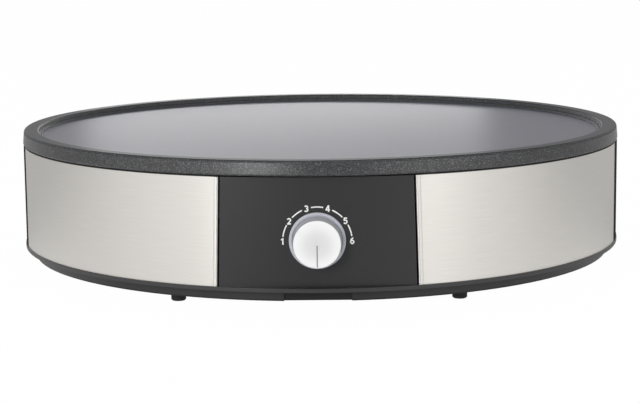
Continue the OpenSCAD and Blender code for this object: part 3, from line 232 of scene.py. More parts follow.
LAMPS = [
    ("lamp_left", (-0.75, -1.9, 0.62), (0, 0, 0.05), 0.45, 0.7, 15, 0),
    ("lamp_right", (1.35, -1.75, 0.7), (0, 0, 0.05), 0.7, 0.7, 3.6, 0),
    ("lamp_above", (0, 0.2, 2.2), (0, 0, 0), 1.8, 1.4, 18, 0),
    ("lamp_behind", (-0.030, 0.47, 0.165), (0.14, 0, 0.09), 0.395, 0.045, 0.235, 4),
]
for lamp in LAMPS:
    soft_lamp(*lamp)
print(len(LAMPS), "lamps")

# %% [markdown]
# ## Finishes
# Each finish is a small node tree. Most start from the same three steps: a base shader, a
# fine grain that varies the colour a little, and the same grain as a shallow bump. The
# grain is measured in the object's own millimetres, so it keeps its size on every piece. The
# crisp edges of the engineering parts get a small shaded rounding as well.


# %% Finish helpers
def object_place(tree):
    return add_node(tree, "TexCoord").outputs["Object"]


def grain_noise(tree, place, per_mm, detail=2.0):
    noise = add_node(tree, "TexNoise")
    noise.inputs["Scale"].default_value = per_mm / MM
    noise.inputs["Detail"].default_value = detail
    tree.links.new(place, noise.inputs["Vector"])
    return noise.outputs["Fac"]


def colour_between(tree, fac, dark, light, low=0.3, high=0.7):
    ramp = add_node(tree, "ValToRGB")
    ramp.color_ramp.elements[0].position = low
    ramp.color_ramp.elements[1].position = high
    ramp.color_ramp.elements[0].color = (*dark, 1)
    ramp.color_ramp.elements[1].color = (*light, 1)
    tree.links.new(fac, ramp.inputs["Fac"])
    return ramp.outputs["Color"]


def spread(tree, fac, low, high):
    """Stretches a 0 to 1 value to the range low to high."""
    span = add_node(tree, "MapRange")
    span.inputs["To Min"].default_value = low
    span.inputs["To Max"].default_value = high
    tree.links.new(fac, span.inputs["Value"])
    return span.outputs["Result"]


def bump(tree, height, depth, normal=None):
    node = add_node(tree, "Bump")
    node.inputs["Strength"].default_value = 1.0
    node.inputs["Distance"].default_value = depth * MM
    tree.links.new(height, node.inputs["Height"])
    if normal is not None:
        tree.links.new(normal, node.inputs["Normal"])
    return node.outputs["Normal"]


def soft_edges(tree, radius):
    edge = add_node(tree, "Bevel", samples=4)
    edge.inputs["Radius"].default_value = radius * MM
    return edge.outputs["Normal"]


def scaled(colour, share):
    return tuple(min(1.0, c * share) for c in colour)


finishes = {}


def grained_finish(slot, colour, roughness, metallic=0.0, per_mm=2.0, depth=0.01, contrast=0.06,
                   edge=0.0):
    """Grains per millimetre; the grain's depth and the edge's rounding are in millimetres."""
    material = bpy.data.materials.new(slot)
    tree = node_tree(material)
    shader = add_node(tree, "BsdfPrincipled")
    shader.inputs["Metallic"].default_value = metallic
    grain = grain_noise(tree, object_place(tree), per_mm)
    dark, light = scaled(colour, 1 - contrast), scaled(colour, 1 + contrast)
    tree.links.new(colour_between(tree, grain, dark, light), shader.inputs["Base Color"])
    gloss = spread(tree, grain, roughness * 0.9, roughness * 1.1)
    tree.links.new(gloss, shader.inputs["Roughness"])
    rim = soft_edges(tree, edge) if edge else None
    tree.links.new(bump(tree, grain, depth, rim), shader.inputs["Normal"])
    tree.links.new(shader.outputs[0], add_node(tree, "OutputMaterial").inputs["Surface"])
    finishes[slot] = material
    return tree, shader


# %% [markdown]
# ### Black mouldings, rubber and enamel
# The front panel, the rear cover and the tray are moulded in black plastic with a fine satin
# texture; the ring on top of the drum is enamelled sheet. Black plastic is never fully black:
# it reflects about a twenty-fifth of the room, which is what makes it look grey and soft. The
# rear cover is kept duller still, with a low index of refraction, so that the little of it
# that shows beside the bands stays a thin dark line.

# %% Black finishes
REAR_IOR = 1.12
grained_finish("panel_black", (0.0225, 0.0225, 0.023), 0.32, per_mm=3.0, depth=0.004, edge=0.35)
_, shader = grained_finish("rear_black", (0.018, 0.018, 0.019), 0.80, per_mm=3.0, depth=0.004)
shader.inputs["IOR"].default_value = REAR_IOR
grained_finish("ring_black", (0.010, 0.010, 0.010), 0.55, per_mm=1.5, depth=0.004, edge=0.2)
grained_finish("rubber_foot", (0.012, 0.012, 0.012), 0.70, per_mm=2.5, depth=0.02, edge=0.2)
grained_finish("gland_black", (0.018, 0.018, 0.018), 0.40, per_mm=2.0, depth=0.006, edge=0.3)
grained_finish("phenolic", (0.050, 0.030, 0.024), 0.35, per_mm=2.0, depth=0.006, edge=0.3)
print(len(finishes), "black finishes")

# %% [markdown]
# ### Painted shade and light on the tray
# The tray hangs in the drum's shade: its flange still catches light from the room, its skirt
# stands back, and the recess in front and the lowest edge get least of all. White walls and a
# white floor wash that out, so the finish paints some of it in: a painted highlight on the
# flange, and painted shade in the recess and along the lowest edge. The place on the tray says
# which part a point belongs to, and each part scales the colour. It is measured on the
# object, so it stays where it is when the view turns.

# %% Tray finish
RECESS_HALF, RECESS_FACE = 20 * MM, -190 * MM
TRAY_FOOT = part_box("base_tray")[0].z
TRAY_SKIRT, DARK_EDGE = 6.2 * MM, 0.9 * MM
RECESS_PAINTED_SHADE, FLANGE_PAINTED_LIGHT, EDGE_PAINTED_SHADE = 0.1, 2.1, 0.1
tree, shader = grained_finish("tray_black", (0.017, 0.017, 0.0175), 0.40, per_mm=3.0, depth=0.004,
                              edge=0.6)
parts = add_node(tree, "SeparateXYZ")
tree.links.new(object_place(tree), parts.inputs[0])
off_middle = math_node(tree, "ABSOLUTE", parts.outputs["X"])
sideways = math_node(tree, "LESS_THAN", off_middle, RECESS_HALF)
forwards = math_node(tree, "LESS_THAN", parts.outputs["Y"], RECESS_FACE)
on_skirt = math_node(tree, "LESS_THAN", parts.outputs["Z"], TRAY_FOOT + TRAY_SKIRT)
on_edge = math_node(tree, "LESS_THAN", parts.outputs["Z"], TRAY_FOOT + DARK_EDGE)
in_front = math_node(tree, "MULTIPLY", sideways, forwards)
in_recess = math_node(tree, "MULTIPLY", in_front, on_skirt)
# painted highlight: the flange's colour is lifted; painted shade: the recess and the lowest edge
# are darkened
shade = spread(tree, on_skirt, FLANGE_PAINTED_LIGHT, 1.0)
shade = math_node(tree, "MULTIPLY", spread(tree, in_recess, 1.0, RECESS_PAINTED_SHADE), shade)
shade = math_node(tree, "MULTIPLY", shade, spread(tree, on_edge, 1.0, EDGE_PAINTED_SHADE))
darker = add_node(tree, "VectorMath", operation="SCALE")
tree.links.new(shader.inputs["Base Color"].links[0].from_socket, darker.inputs[0])
tree.links.new(shade, darker.inputs["Scale"])
tree.links.new(darker.outputs[0], shader.inputs["Base Color"])
print("tray shaded below", round((TRAY_FOOT + TRAY_SKIRT) / MM, 1), "mm")

# %% [markdown]
# ### Metals, ceramic and wires inside
# Nobody sees these until the base comes off, but they are finished as carefully: zinc-plated
# fasteners and sheet, the heat-tinted sheath of the element, brass, copper and unglazed
# ceramic, and insulation in the mains colours.

# %% Inner finishes
# slot: colour, roughness, metallic, grains per mm, grain depth, contrast, edge rounding
INNER_FINISHES = {
    "zinc_steel": ((0.60, 0.61, 0.62), 0.34, 1.0, 0.8, 0.01, 0.12, 0.25),
    "element_sheath": ((0.20, 0.18, 0.17), 0.45, 1.0, 0.5, 0.02, 0.25, 0),
    "shield_sheet": ((0.64, 0.65, 0.66), 0.30, 1.0, 0.3, 0.02, 0.10, 0.2),
    "brass_part": ((0.68, 0.50, 0.22), 0.28, 1.0, 0.8, 0.01, 0.10, 0.25),
    "copper_part": ((0.72, 0.40, 0.27), 0.30, 1.0, 0.8, 0.01, 0.15, 0),
    "ceramic": ((0.80, 0.77, 0.69), 0.60, 0, 2.5, 0.03, 0.06, 0.3),
    "board_green": ((0.03, 0.17, 0.07), 0.30, 0, 1.0, 0.01, 0.2, 0.1),
    "wire_brown": ((0.16, 0.07, 0.03), 0.40, 0, 1.0, 0.01, 0.06, 0),
    "wire_black": ((0.015, 0.015, 0.015), 0.40, 0, 1.0, 0.01, 0.06, 0),
    "wire_blue": ((0.03, 0.09, 0.42), 0.40, 0, 1.0, 0.01, 0.06, 0),
    "wire_green": ((0.24, 0.42, 0.04), 0.40, 0, 1.0, 0.01, 0.06, 0),
}
for slot, recipe in INNER_FINISHES.items():
    grained_finish(slot, *recipe)
print(len(finishes), "finishes so far")

# %% [markdown]
# ### Brushed steel
# The side bands are brushed around the drum, so each hair-fine scratch runs sideways and
# spreads reflections up and down. The shader does that with anisotropy, turned a quarter to
# lie across the brushing, and the scratches themselves are a noise that is stretched along
# the arc: its three coordinates are the angle round the drum, the height and nothing.

# %% Brushed steel
BRUSH_ALONG = 9.0  # scratches to a radian round the drum
BRUSH_ACROSS = 3.2  # scratches to a millimetre of height
BRUSH_SPREAD, QUARTER_TURN = 0.6, 0.25


def brushed_steel(slot, colour, roughness):
    material = bpy.data.materials.new(slot)
    tree = node_tree(material)
    shader = add_node(tree, "BsdfPrincipled")
    shader.inputs["Metallic"].default_value = 1.0
    shader.inputs["Anisotropic"].default_value = BRUSH_SPREAD
    shader.inputs["Anisotropic Rotation"].default_value = QUARTER_TURN
    tangent = add_node(tree, "Tangent", direction_type="RADIAL", axis="Z")
    tree.links.new(tangent.outputs[0], shader.inputs["Tangent"])
    parts = add_node(tree, "SeparateXYZ")
    tree.links.new(object_place(tree), parts.inputs[0])
    angle = math_node(tree, "ARCTAN2", parts.outputs["Y"], parts.outputs["X"])
    along = math_node(tree, "MULTIPLY", angle, BRUSH_ALONG)
    across = math_node(tree, "MULTIPLY", parts.outputs["Z"], BRUSH_ACROSS / MM)
    place = add_node(tree, "CombineXYZ")
    tree.links.new(along, place.inputs["X"])
    tree.links.new(across, place.inputs["Y"])
    scratches = add_node(tree, "TexNoise")
    scratches.inputs["Scale"].default_value = 1.0
    scratches.inputs["Detail"].default_value = 3.0
    tree.links.new(place.outputs[0], scratches.inputs["Vector"])
    lines = scratches.outputs["Fac"]
    tint = colour_between(tree, lines, scaled(colour, 0.96), scaled(colour, 1.04))
    tree.links.new(tint, shader.inputs["Base Color"])
    gloss = spread(tree, lines, roughness - 0.05, roughness + 0.05)
    tree.links.new(gloss, shader.inputs["Roughness"])
    tree.links.new(bump(tree, lines, 0.002), shader.inputs["Normal"])
    tree.links.new(shader.outputs[0], add_node(tree, "OutputMaterial").inputs["Surface"])
    finishes[slot] = material


brushed_steel("brushed_band", (0.742, 0.719, 0.682), 0.40)
print("brushed steel for the bands")

# %% [markdown]
# ### The plate's coating
# The casting is sprayed with a dark non-stick coating full of fine pale flakes. Each flake
# lies at its own slight angle, so some catch the lamps and most do not. Voronoi cells make
# the flakes: one random number per cell picks the few pale ones, and another lifts each cell
# a little, which tilts the surface at its borders. The same recipe, with other values, gives
# the four faces of the casting: the speckled side and underside, a smooth film with a lilac
# cast on the cooking surface, a dull top on the rim, which would mirror too much at a flat
# angle, and a rougher, paler wall inside the rim. The rim's top also has darker flakes, which
# is painted shade, and the wall's paler colour is painted light. One recipe keeps the four alike.

# %% Coating
FLAKE_SIZE = 0.47 * MM
SPRAY_GRAIN = 1.6  # grains to a millimetre


def coating(name, base, flake, roughness, tilt, flake_share, shine, depth=0.02):
    """flake_share of the cells turn towards the flake's colour; tilt is how far cells rise."""
    material = bpy.data.materials.new(name)
    tree = node_tree(material)
    shader = add_node(tree, "BsdfPrincipled")
    shader.inputs["Specular IOR Level"].default_value = shine
    place = object_place(tree)
    cells = add_node(tree, "TexVoronoi")
    cells.inputs["Scale"].default_value = 1 / FLAKE_SIZE
    tree.links.new(place, cells.inputs["Vector"])
    chance = add_node(tree, "SeparateColor")
    tree.links.new(cells.outputs["Color"], chance.inputs[0])
    pale = colour_between(tree, chance.outputs["Red"], base, flake, 1 - flake_share, 1.0)
    tree.links.new(pale, shader.inputs["Base Color"])
    fine = grain_noise(tree, place, SPRAY_GRAIN, 3.0)
    gloss = spread(tree, fine, roughness * 0.85, roughness * 1.15)
    tree.links.new(gloss, shader.inputs["Roughness"])
    lumps = math_node(tree, "MULTIPLY_ADD", chance.outputs["Green"], tilt, fine)
    tree.links.new(bump(tree, lumps, depth), shader.inputs["Normal"])
    tree.links.new(shader.outputs[0], add_node(tree, "OutputMaterial").inputs["Surface"])
    finishes[name] = material
    return shader


FILM_TINT = (0.94, 0.925, 1.0, 1)
coating("coated_plate", (0.014, 0.0145, 0.016), (0.125, 0.127, 0.132), 0.29, 1.6, 0.32, 0.80)
# the rim's darker flakes are painted shade, and the wall's paler colour below is painted light
coating("dull_rim_painted_shade", (0.012, 0.0125, 0.0145), (0.040, 0.041, 0.047), 0.36, 0.2, 0.32, 0.06, 0.004)
coating("rough_wall_painted_light", (0.036, 0.037, 0.039), (0.11, 0.111, 0.115), 0.60, 0.2, 0.32, 0.30, 0.004)
film = coating("cooking_film", (0.020, 0.0195, 0.040), (0.034, 0.0335, 0.056), 0.39, 0.1, 0.35, 0.6)
film.inputs["Specular Tint"].default_value = FILM_TINT
print("four finishes on the casting")

# %% [markdown]
# ### Knob, ring and print
# The light ring is milky plastic with a cool cast and the knob's skirt is satin grey. The
# knob's face is a pale disc with painted shade and a painted highlight: its colour is a little
# darker towards its middle and lighter at its rim, standing in for what the face would mirror.
# The distance from the knob's axis picks the tone from a list of stops. The dial is printed in
# warm white. A little subsurface scattering is what makes the ring look milky and not painted.

# %% Knob finishes
knob_low, knob_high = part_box("knob_body")
cap_low, cap_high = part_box("knob_cap")
KNOB_HEIGHT, KNOB_FACE_R = (knob_low.z + knob_high.z) / 2, cap_high.x
FACE_PAINTED_SHADE_AND_LIGHT = [(0.0, 0.76), (0.45, 0.80), (0.75, 0.93), (1.0, 0.98)]
_, shader = grained_finish("light_ring", (0.60, 0.605, 0.665), 0.35, per_mm=1.0, depth=0.004)
shader.inputs["Subsurface Weight"].default_value = 0.3
shader.inputs["Subsurface Radius"].default_value = (2 * MM, 2 * MM, 2 * MM)
grained_finish("knob_grey", (0.475, 0.485, 0.515), 0.38, per_mm=2.0, depth=0.004)
tree, shader = grained_finish("knob_face", (0.93, 0.93, 0.925), 0.45, per_mm=2.0, depth=0.003,
                              contrast=0.02)
# painted shade and highlight: the face's colour falls towards its middle, by the distance from the
# knob's axis
from_axis = add_node(tree, "VectorMath", operation="MULTIPLY_ADD")
from_axis.inputs[1].default_value = (1, 0, 1)
from_axis.inputs[2].default_value = (0, 0, -KNOB_HEIGHT)
tree.links.new(object_place(tree), from_axis.inputs[0])
radius = add_node(tree, "VectorMath", operation="LENGTH")
tree.links.new(from_axis.outputs[0], radius.inputs[0])
share = math_node(tree, "DIVIDE", radius.outputs["Value"], KNOB_FACE_R)
tree.links.new(tone_curve(tree, share, FACE_PAINTED_SHADE_AND_LIGHT), shader.inputs["Base Color"])
grained_finish("pointer_painted_shade", (0.30, 0.30, 0.31), 0.5, per_mm=2.0, depth=0.002)
grained_finish("dial_print", (0.92, 0.92, 0.90), 0.5, per_mm=3.0, depth=0.002, contrast=0.03)
print(len(finishes), "finishes")

# %% [markdown]
# ### Dressing the engineering parts
# The record names a material slot for every part, and each slot has its finish above. The
# rear cover alone takes another: its slot is the front panel's, and its finish is the duller
# one. Only the slots change here. The parts' shapes and places stay as they came.

# %% Put every finish on its engineering parts
for part in frame["record"]["subparts"]:
    obj = frame["nodes"][part["node"]]
    slot = "rear_black" if part["node"] == "rear_panel" else part["material_slot"]
    obj.data.materials.clear()
    obj.data.materials.append(finishes[slot])
print("finished", len(frame["nodes"]), "engineering parts")

# %% [markdown]
# ## Turned pieces
# The plate, the ring, the knob and its face are all turned shapes: one outline, spun about an
# axis. A drawn outline has sharp corners, and real ones never are, so each corner carries its
# own rounding. A point set just beside each arc keeps the flat stretches flat when the
# surface is shaded smooth.


# %% Outline and lathe helpers
HOLD_SHARE, HOLD_LIMIT = 0.15, 0.1 * MM  # how far the flat's holding point lies beside an arc
WELD, ON_AXIS = 1e-7, 1e-9
SHARP_ABOVE = radians(32)


def round_corner(before, corner, after, radius, steps):
    u = (before - corner).normalized()
    v = (after - corner).normalized()
    half = u.angle(v) / 2
    reach = radius / tan(half)
    centre = corner + (u + v).normalized() * radius / sin(half)
    start = corner + u * reach - centre
    swing = pi - 2 * half
    if u.x * v.y - u.y * v.x > 0:
        swing = -swing
    arc = [centre + Matrix.Rotation(swing * i / steps, 2) @ start for i in range(steps + 1)]
    hold = min(radius * HOLD_SHARE, HOLD_LIMIT)
    return [arc[0] + u * hold, *arc, arc[-1] + v * hold]


def rounded_outline(corners, steps=6):
    """corners: (r, z, rounding), all in metres, as a closed outline."""
    points = [Vector(c[:2]) for c in corners]
    count = len(points)
    outline = []
    for i, corner in enumerate(corners):
        if corner[2] == 0:
            outline.append(points[i])
        else:
            after = points[(i + 1) % count]
            outline += round_corner(points[i - 1], points[i], after, corner[2], steps)
    return outline


def piece_from(name, verts, faces, finish, slot, body="housing"):
    mesh = bpy.data.meshes.new(name)
    mesh.from_pydata(verts, [], faces)
    shaped = bmesh.new()
    shaped.from_mesh(mesh)
    bmesh.ops.remove_doubles(shaped, verts=shaped.verts, dist=WELD)
    bmesh.ops.recalc_face_normals(shaped, faces=shaped.faces)
    shaped.to_mesh(mesh)
    shaped.free()
    mesh.shade_smooth()
    mesh.set_sharp_from_angle(angle=SHARP_ABOVE)
    mesh.materials.append(finish)
    piece = link_piece(bpy.data.objects.new(name, mesh))
    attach(piece, body)
    return piece


def lathe(outline, turns, axis=None):
    """Spins an (r, z) outline about Z, or about another axis given as a matrix."""
    axis = axis or Matrix.Identity(4)
    count = len(outline)
    verts = [axis @ Vector((p.x * cos(2 * pi * k / turns), p.x * sin(2 * pi * k / turns), p.y))
             for k in range(turns) for p in outline]
    faces = []
    for k in range(turns):
        here, there = k * count, (k + 1) % turns * count
        for i in range(count):
            j = (i + 1) % count
            if outline[i].x < ON_AXIS and outline[j].x < ON_AXIS:
                continue
            faces.append((here + i, here + j, there + j, there + i))
    return verts, faces


# %% [markdown]
# ## The cooking plate
# The plate is one casting: a heavy disc with a raised rim, a small step at the foot of the
# rim's inner wall, a skirt that hangs down round the drum and a stiffening rib underneath.
# Its outline is drawn once, from the middle of the underside outwards and back over the top.
# The screw bosses under it are short tubes of the same casting. Every edge has its own
# rounding, because light catches exactly there. A spun outline keeps all of that in one list.

# %% Outline of the plate
plate_low, plate_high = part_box("cooking_plate")
PLATE_R = 201 * MM
rim_z = plate_high.z
RIM_DEPTH, PLATE_THICKNESS, SKIRT_HEIGHT = 4.4 * MM, 9.6 * MM, 9.3 * MM
RIM_WIDTH, RIM_LEAN, STEP_WIDTH, STEP_HEIGHT = 9.8 * MM, 0.8 * MM, 1.6 * MM, 1.6 * MM
SKIRT_DRAFT, SKIRT_FOOT, DRIP_DEPTH = 0.8 * MM, 5.0 * MM, 1.3 * MM
CORE_R, RIB_R, RIB_WIDTH, RIB_DEPTH = 178 * MM, 160 * MM, 4 * MM, 5 * MM
FOOT_ROUND, RIM_OUTER_ROUND, RIM_INNER_ROUND = 1.2 * MM, 1.4 * MM, 1.9 * MM
STEP_ROUND, RIB_ROUND, CORE_ROUND = 0.6 * MM, 0.5 * MM, 0.8 * MM
DRIP_ROUND, SKIRT_ROUND = 0.6 * MM, 0.3 * MM
bed_z = rim_z - RIM_DEPTH
under_z = bed_z - PLATE_THICKNESS
skirt_z = rim_z - SKIRT_HEIGHT
land_r = PLATE_R - SKIRT_DRAFT
wall_r = land_r - RIM_WIDTH
step_r = wall_r - RIM_LEAN
bed_r = step_r - STEP_WIDTH
rib_z, rib_out = under_z - RIB_DEPTH, RIB_R + RIB_WIDTH
drip_z, drip_r = skirt_z + DRIP_DEPTH, PLATE_R - SKIRT_FOOT
step_z = bed_z + STEP_HEIGHT
plate_corners = [
    (0, under_z, 0),
    (RIB_R, under_z, RIB_ROUND), (RIB_R, rib_z, RIB_ROUND),
    (rib_out, rib_z, RIB_ROUND), (rib_out, under_z, RIB_ROUND),
    (CORE_R, under_z, CORE_ROUND), (CORE_R, drip_z, DRIP_ROUND),
    (drip_r, drip_z, SKIRT_ROUND), (drip_r, skirt_z, SKIRT_ROUND),
    (PLATE_R, skirt_z, FOOT_ROUND), (land_r, rim_z, RIM_OUTER_ROUND),
    (wall_r, rim_z, RIM_INNER_ROUND), (step_r, step_z, STEP_ROUND),
    (bed_r, step_z, STEP_ROUND), (bed_r - STEP_ROUND, bed_z, STEP_ROUND), (0, bed_z, 0),
]
print("plate", round(2 * PLATE_R / MM, 1), "mm across, rim at", round(rim_z / MM, 1), "mm")


# %% Screw bosses
BOSS_CIRCLE_R, BOSS_ROOT, BOSS_ROUND = 110 * MM, 1 * MM, 0.5 * MM
TIE_BOSS_R, TIE_BORE_R, TIE_AZIMUTHS = 8 * MM, 2.6 * MM, (45, 135, 225, 315)
CLAMP_BOSS_R, CLAMP_BORE_R, CLAMP_AZIMUTHS = 6 * MM, 2.1 * MM, (0, 180, 270)
BOSS_TURNS, PLATE_TURNS, KNOB_TURNS = 40, 256, 128


def together(*shells):
    verts, faces = [], []
    for more_verts, more_faces in shells:
        faces += [tuple(len(verts) + i for i in face) for face in more_faces]
        verts += more_verts
    return verts, faces


def boss(radius, bore, azimuth):
    """A short tube that ends a little inside the casting, on the circle of the tie screws."""
    root_z = under_z + BOSS_ROOT
    outline = rounded_outline([(bore, plate_low.z, 0), (radius, plate_low.z, BOSS_ROUND),
                               (radius, root_z, 0), (bore, root_z, 0)])
    place = Matrix.Rotation(radians(azimuth), 4, "Z") @ Matrix.Translation((BOSS_CIRCLE_R, 0, 0))
    return lathe(outline, BOSS_TURNS, place)


bosses = [boss(TIE_BOSS_R, TIE_BORE_R, azimuth) for azimuth in TIE_AZIMUTHS]
bosses += [boss(CLAMP_BOSS_R, CLAMP_BORE_R, azimuth) for azimuth in CLAMP_AZIMUTHS]
print(len(bosses), "bosses under the plate")

# %% Cooking plate
plate_shell = lathe(rounded_outline(plate_corners), PLATE_TURNS)
plate = piece_from("plate_casting", *together(plate_shell, *bosses), finishes["coated_plate"],
                   "coated_plate")
for finish in ("cooking_film", "dull_rim_painted_shade", "rough_wall_painted_light"):
    plate.data.materials.append(finishes[finish])
print("plate casting:", len(plate.data.polygons), "faces")

# %% [markdown]
# Each face of the casting now takes one of the four finishes, and its height, its distance
# from the axis and the way it faces say which. Level faces at the height of the bed are the
# film. Above the bed, steep faces take the wall's finish and flat ones the rim's. All else
# keeps the speckled coat.

# %% Finishes on the plate
COAT, FILM, LAND, WALL = range(4)
LEVEL, STEEP, NEAR = 0.999, 0.7, 0.01 * MM
LAND_REACH = 0.2 * MM
for face in plate.data.polygons:
    above = face.center.z > bed_z - NEAR and face.center.xy.length < land_r + LAND_REACH
    if not above:
        face.material_index = COAT
    elif face.normal.z > LEVEL and face.center.z < bed_z + NEAR:
        face.material_index = FILM
    else:
        face.material_index = WALL if face.normal.z < STEEP else LAND
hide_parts("cooking_plate")
print("film on", sum(face.material_index == FILM for face in plate.data.polygons), "faces")

# %% [markdown]
# ## The side bands
# Each band is one strip of brushed sheet. Seen from above it runs round the drum, turns
# sharply at the front and goes a few millimetres inwards beside the control panel. Just
# before the turn the bending tool has left a hair-fine crease in the sheet. The slot
# for the panel is a little wider at its foot, so the path is drawn anew at each level and the
# levels are joined: a loft. A very small bevel takes the knife edge off the cut sheet. Only
# the right band is worked out; the left one is its mirror image.

# %% Side bands
band_low, band_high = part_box("side_band_right")
drum_r = hypot(band_high.x, band_high.y)
BAND_THICKNESS, TURN_RADIUS, LIP_DEPTH = 0.8 * MM, 1.2 * MM, 3.6 * MM
SLOT_HALF_TOP, SLOT_HALF_FOOT = 57.3 * MM, 59.05 * MM
CREASE_AT, CREASE_WIDTH, CREASE_DEPTH = 1.5 * MM, 0.34 * MM, 0.07 * MM
TURN_HOLD, CUT_BEVEL, CUT_ANGLE = 0.1 * MM, 0.12 * MM, radians(60)
BAND_STEPS, TURN_STEPS, BAND_LEVELS = 72, 8, 6


def band_path(half, inset):
    """From the rear end round the drum and in along the slot; inset is the depth in the sheet."""
    centre_x = half + TURN_RADIUS
    centre = Vector((centre_x, -sqrt((drum_r - TURN_RADIUS) ** 2 - centre_x ** 2)))
    rear = asin(-band_high.y / drum_r)
    front = atan2(-centre.y, centre.x)
    crease, half_crease = front - CREASE_AT / drum_r, CREASE_WIDTH / 2 / drum_r
    long_arc = crease - 2 * half_crease - rear
    bends = [rear + long_arc * i / BAND_STEPS for i in range(BAND_STEPS + 1)]
    bends += [crease - half_crease, crease, crease + half_crease, front]
    path = []
    for a in bends:
        dent = CREASE_DEPTH if a == crease and not inset else 0
        path.append(Vector((cos(a), -sin(a))) * (drum_r - inset - dent))
    for i in range(1, TURN_STEPS + 1):
        a = front + (pi - front) * i / TURN_STEPS
        path.append(centre + Vector((cos(a), -sin(a))) * (TURN_RADIUS - inset))
    lip_end = -sqrt((drum_r - LIP_DEPTH) ** 2 - half ** 2)
    path.append(Vector((half + inset, centre.y + TURN_HOLD)))
    path.append(Vector((half + inset, lip_end)))
    return path


def band_mesh(side):
    verts, faces = [], []
    for level in range(BAND_LEVELS + 1):
        share = level / BAND_LEVELS
        half = SLOT_HALF_FOOT + (SLOT_HALF_TOP - SLOT_HALF_FOOT) * share
        z = band_low.z + (band_high.z - band_low.z) * share
        loop = band_path(half, 0) + band_path(half, BAND_THICKNESS)[::-1]
        verts += [(side * p.x, p.y, z) for p in loop]
    count = len(loop)
    for level in range(BAND_LEVELS):
        low, high = level * count, (level + 1) * count
        faces += [(low + i, low + (i + 1) % count, high + (i + 1) % count, high + i)
                  for i in range(count)]
    for base in (0, BAND_LEVELS * count):
        faces += [(base + i, base + i + 1, base + count - 2 - i, base + count - 1 - i)
                  for i in range(count // 2 - 1)]
    return verts, faces


for side, name in ((-1, "left"), (1, "right")):
    band = piece_from(f"band_{name}", *band_mesh(side), finishes["brushed_band"], "brushed_band")
    edge = band.modifiers.new("cut_edge", "BEVEL")
    edge.width, edge.segments, edge.limit_method = CUT_BEVEL, 2, "ANGLE"
    edge.angle_limit = CUT_ANGLE
    edge.harden_normals = True
    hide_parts(f"side_band_{name}")
    print(band.name, len(band.data.polygons), "faces")
print("drum", round(2 * drum_r / MM, 1), "mm across")

# %% [markdown]
# ## The control panel's ring, knob cap and pointer
# These sit on the knob's own axis, which points out of the panel towards -Y. One matrix takes
# an outline drawn as radius and depth onto that axis. The ring has a fine groove near its
# outer edge, which is part of its outline. The cap is a spun flat disc with a rounded edge,
# and its pointer is a groove: a narrow cutter with round ends is taken away from the disc,
# and a thin dark strip lies on the groove's floor, painted shade that deepens the groove. A
# cut groove keeps a true shadow.

# %% Light ring
face_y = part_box("front_panel")[0].y
ring_low, ring_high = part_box("light_ring")
knob_axis = Matrix.Translation((0, face_y, KNOB_HEIGHT)) @ Matrix.Rotation(pi / 2, 4, "X")
RING_BORE_R, RING_SEAT, BARREL_R = 8.5 * MM, 0.5 * MM, 15 * MM
GROOVE_IN, GROOVE_OUT, GROOVE_DEPTH = 14.2 * MM, 14.95 * MM, 0.7 * MM
ring_r, ring_out, ring_in = ring_high.x, face_y - ring_low.y, face_y - ring_high.y
RING_ROUND, BORE_ROUND, BARREL_ROUND, FINE_ROUND = 0.6 * MM, 0.2 * MM, 0.3 * MM, 0.1 * MM
groove_z = ring_out - GROOVE_DEPTH
ring_outline = rounded_outline([
    (RING_BORE_R, ring_in, BORE_ROUND), (BARREL_R, ring_in, BARREL_ROUND),
    (BARREL_R, -RING_SEAT, 0), (ring_r, -RING_SEAT, FINE_ROUND), (ring_r, ring_out, RING_ROUND),
    (GROOVE_OUT, ring_out, FINE_ROUND), (GROOVE_OUT, groove_z, 0),
    (GROOVE_IN, groove_z, 0), (GROOVE_IN, ring_out, FINE_ROUND),
    (RING_BORE_R, ring_out, BORE_ROUND)])
ring = piece_from("glow_ring", *lathe(ring_outline, KNOB_TURNS, knob_axis), finishes["light_ring"],
                  "light_ring")
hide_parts("light_ring")
print("light ring", round(2 * ring_r / MM, 1), "mm across")

# %% Knob cap
CAP_ROUND, CAP_BACK_ROUND = 0.45 * MM, 0.1 * MM
POINTER_WIDTH, POINTER_DEPTH, POINTER_NEAR = 0.8 * MM, 0.3 * MM, 0.4 * MM
SHADE_STRIP = 0.05 * MM  # the line's thickness, and the gap it keeps to the groove's walls
GROOVE_SHARP = radians(20)
cap_r, cap_out, cap_in = cap_high.x, face_y - cap_low.y, face_y - cap_high.y
cap_outline = rounded_outline([(0, cap_in, 0), (cap_r, cap_in, CAP_BACK_ROUND),
                               (cap_r, cap_out, CAP_ROUND), (0, cap_out, 0)])
cap = piece_from("knob_disc", *lathe(cap_outline, KNOB_TURNS, knob_axis), finishes["knob_face"],
                 "knob_face", "knob")
print("cap", round(2 * cap_r / MM, 1), "mm across")


# %% Pointer
CAPSULE_TURNS = 10


def capsule(name, half_width, near, far, low, high, finish, slot):
    """A flat bar with round ends on the knob's axis, from radius near to far below the centre."""
    path = []
    for centre, start in ((far - half_width, -pi), (near + half_width, 0)):
        for i in range(CAPSULE_TURNS + 1):
            a = start + pi * i / CAPSULE_TURNS
            path.append((half_width * cos(a), -centre + half_width * sin(a)))
    count = len(path)
    verts = [knob_axis @ Vector((x, y, depth)) for depth in (low, high) for x, y in path]
    faces = [tuple(range(count)), tuple(range(count, 2 * count))]
    faces += [(i, (i + 1) % count, count + (i + 1) % count, count + i) for i in range(count)]
    return piece_from(name, verts, faces, finish, slot, "knob")


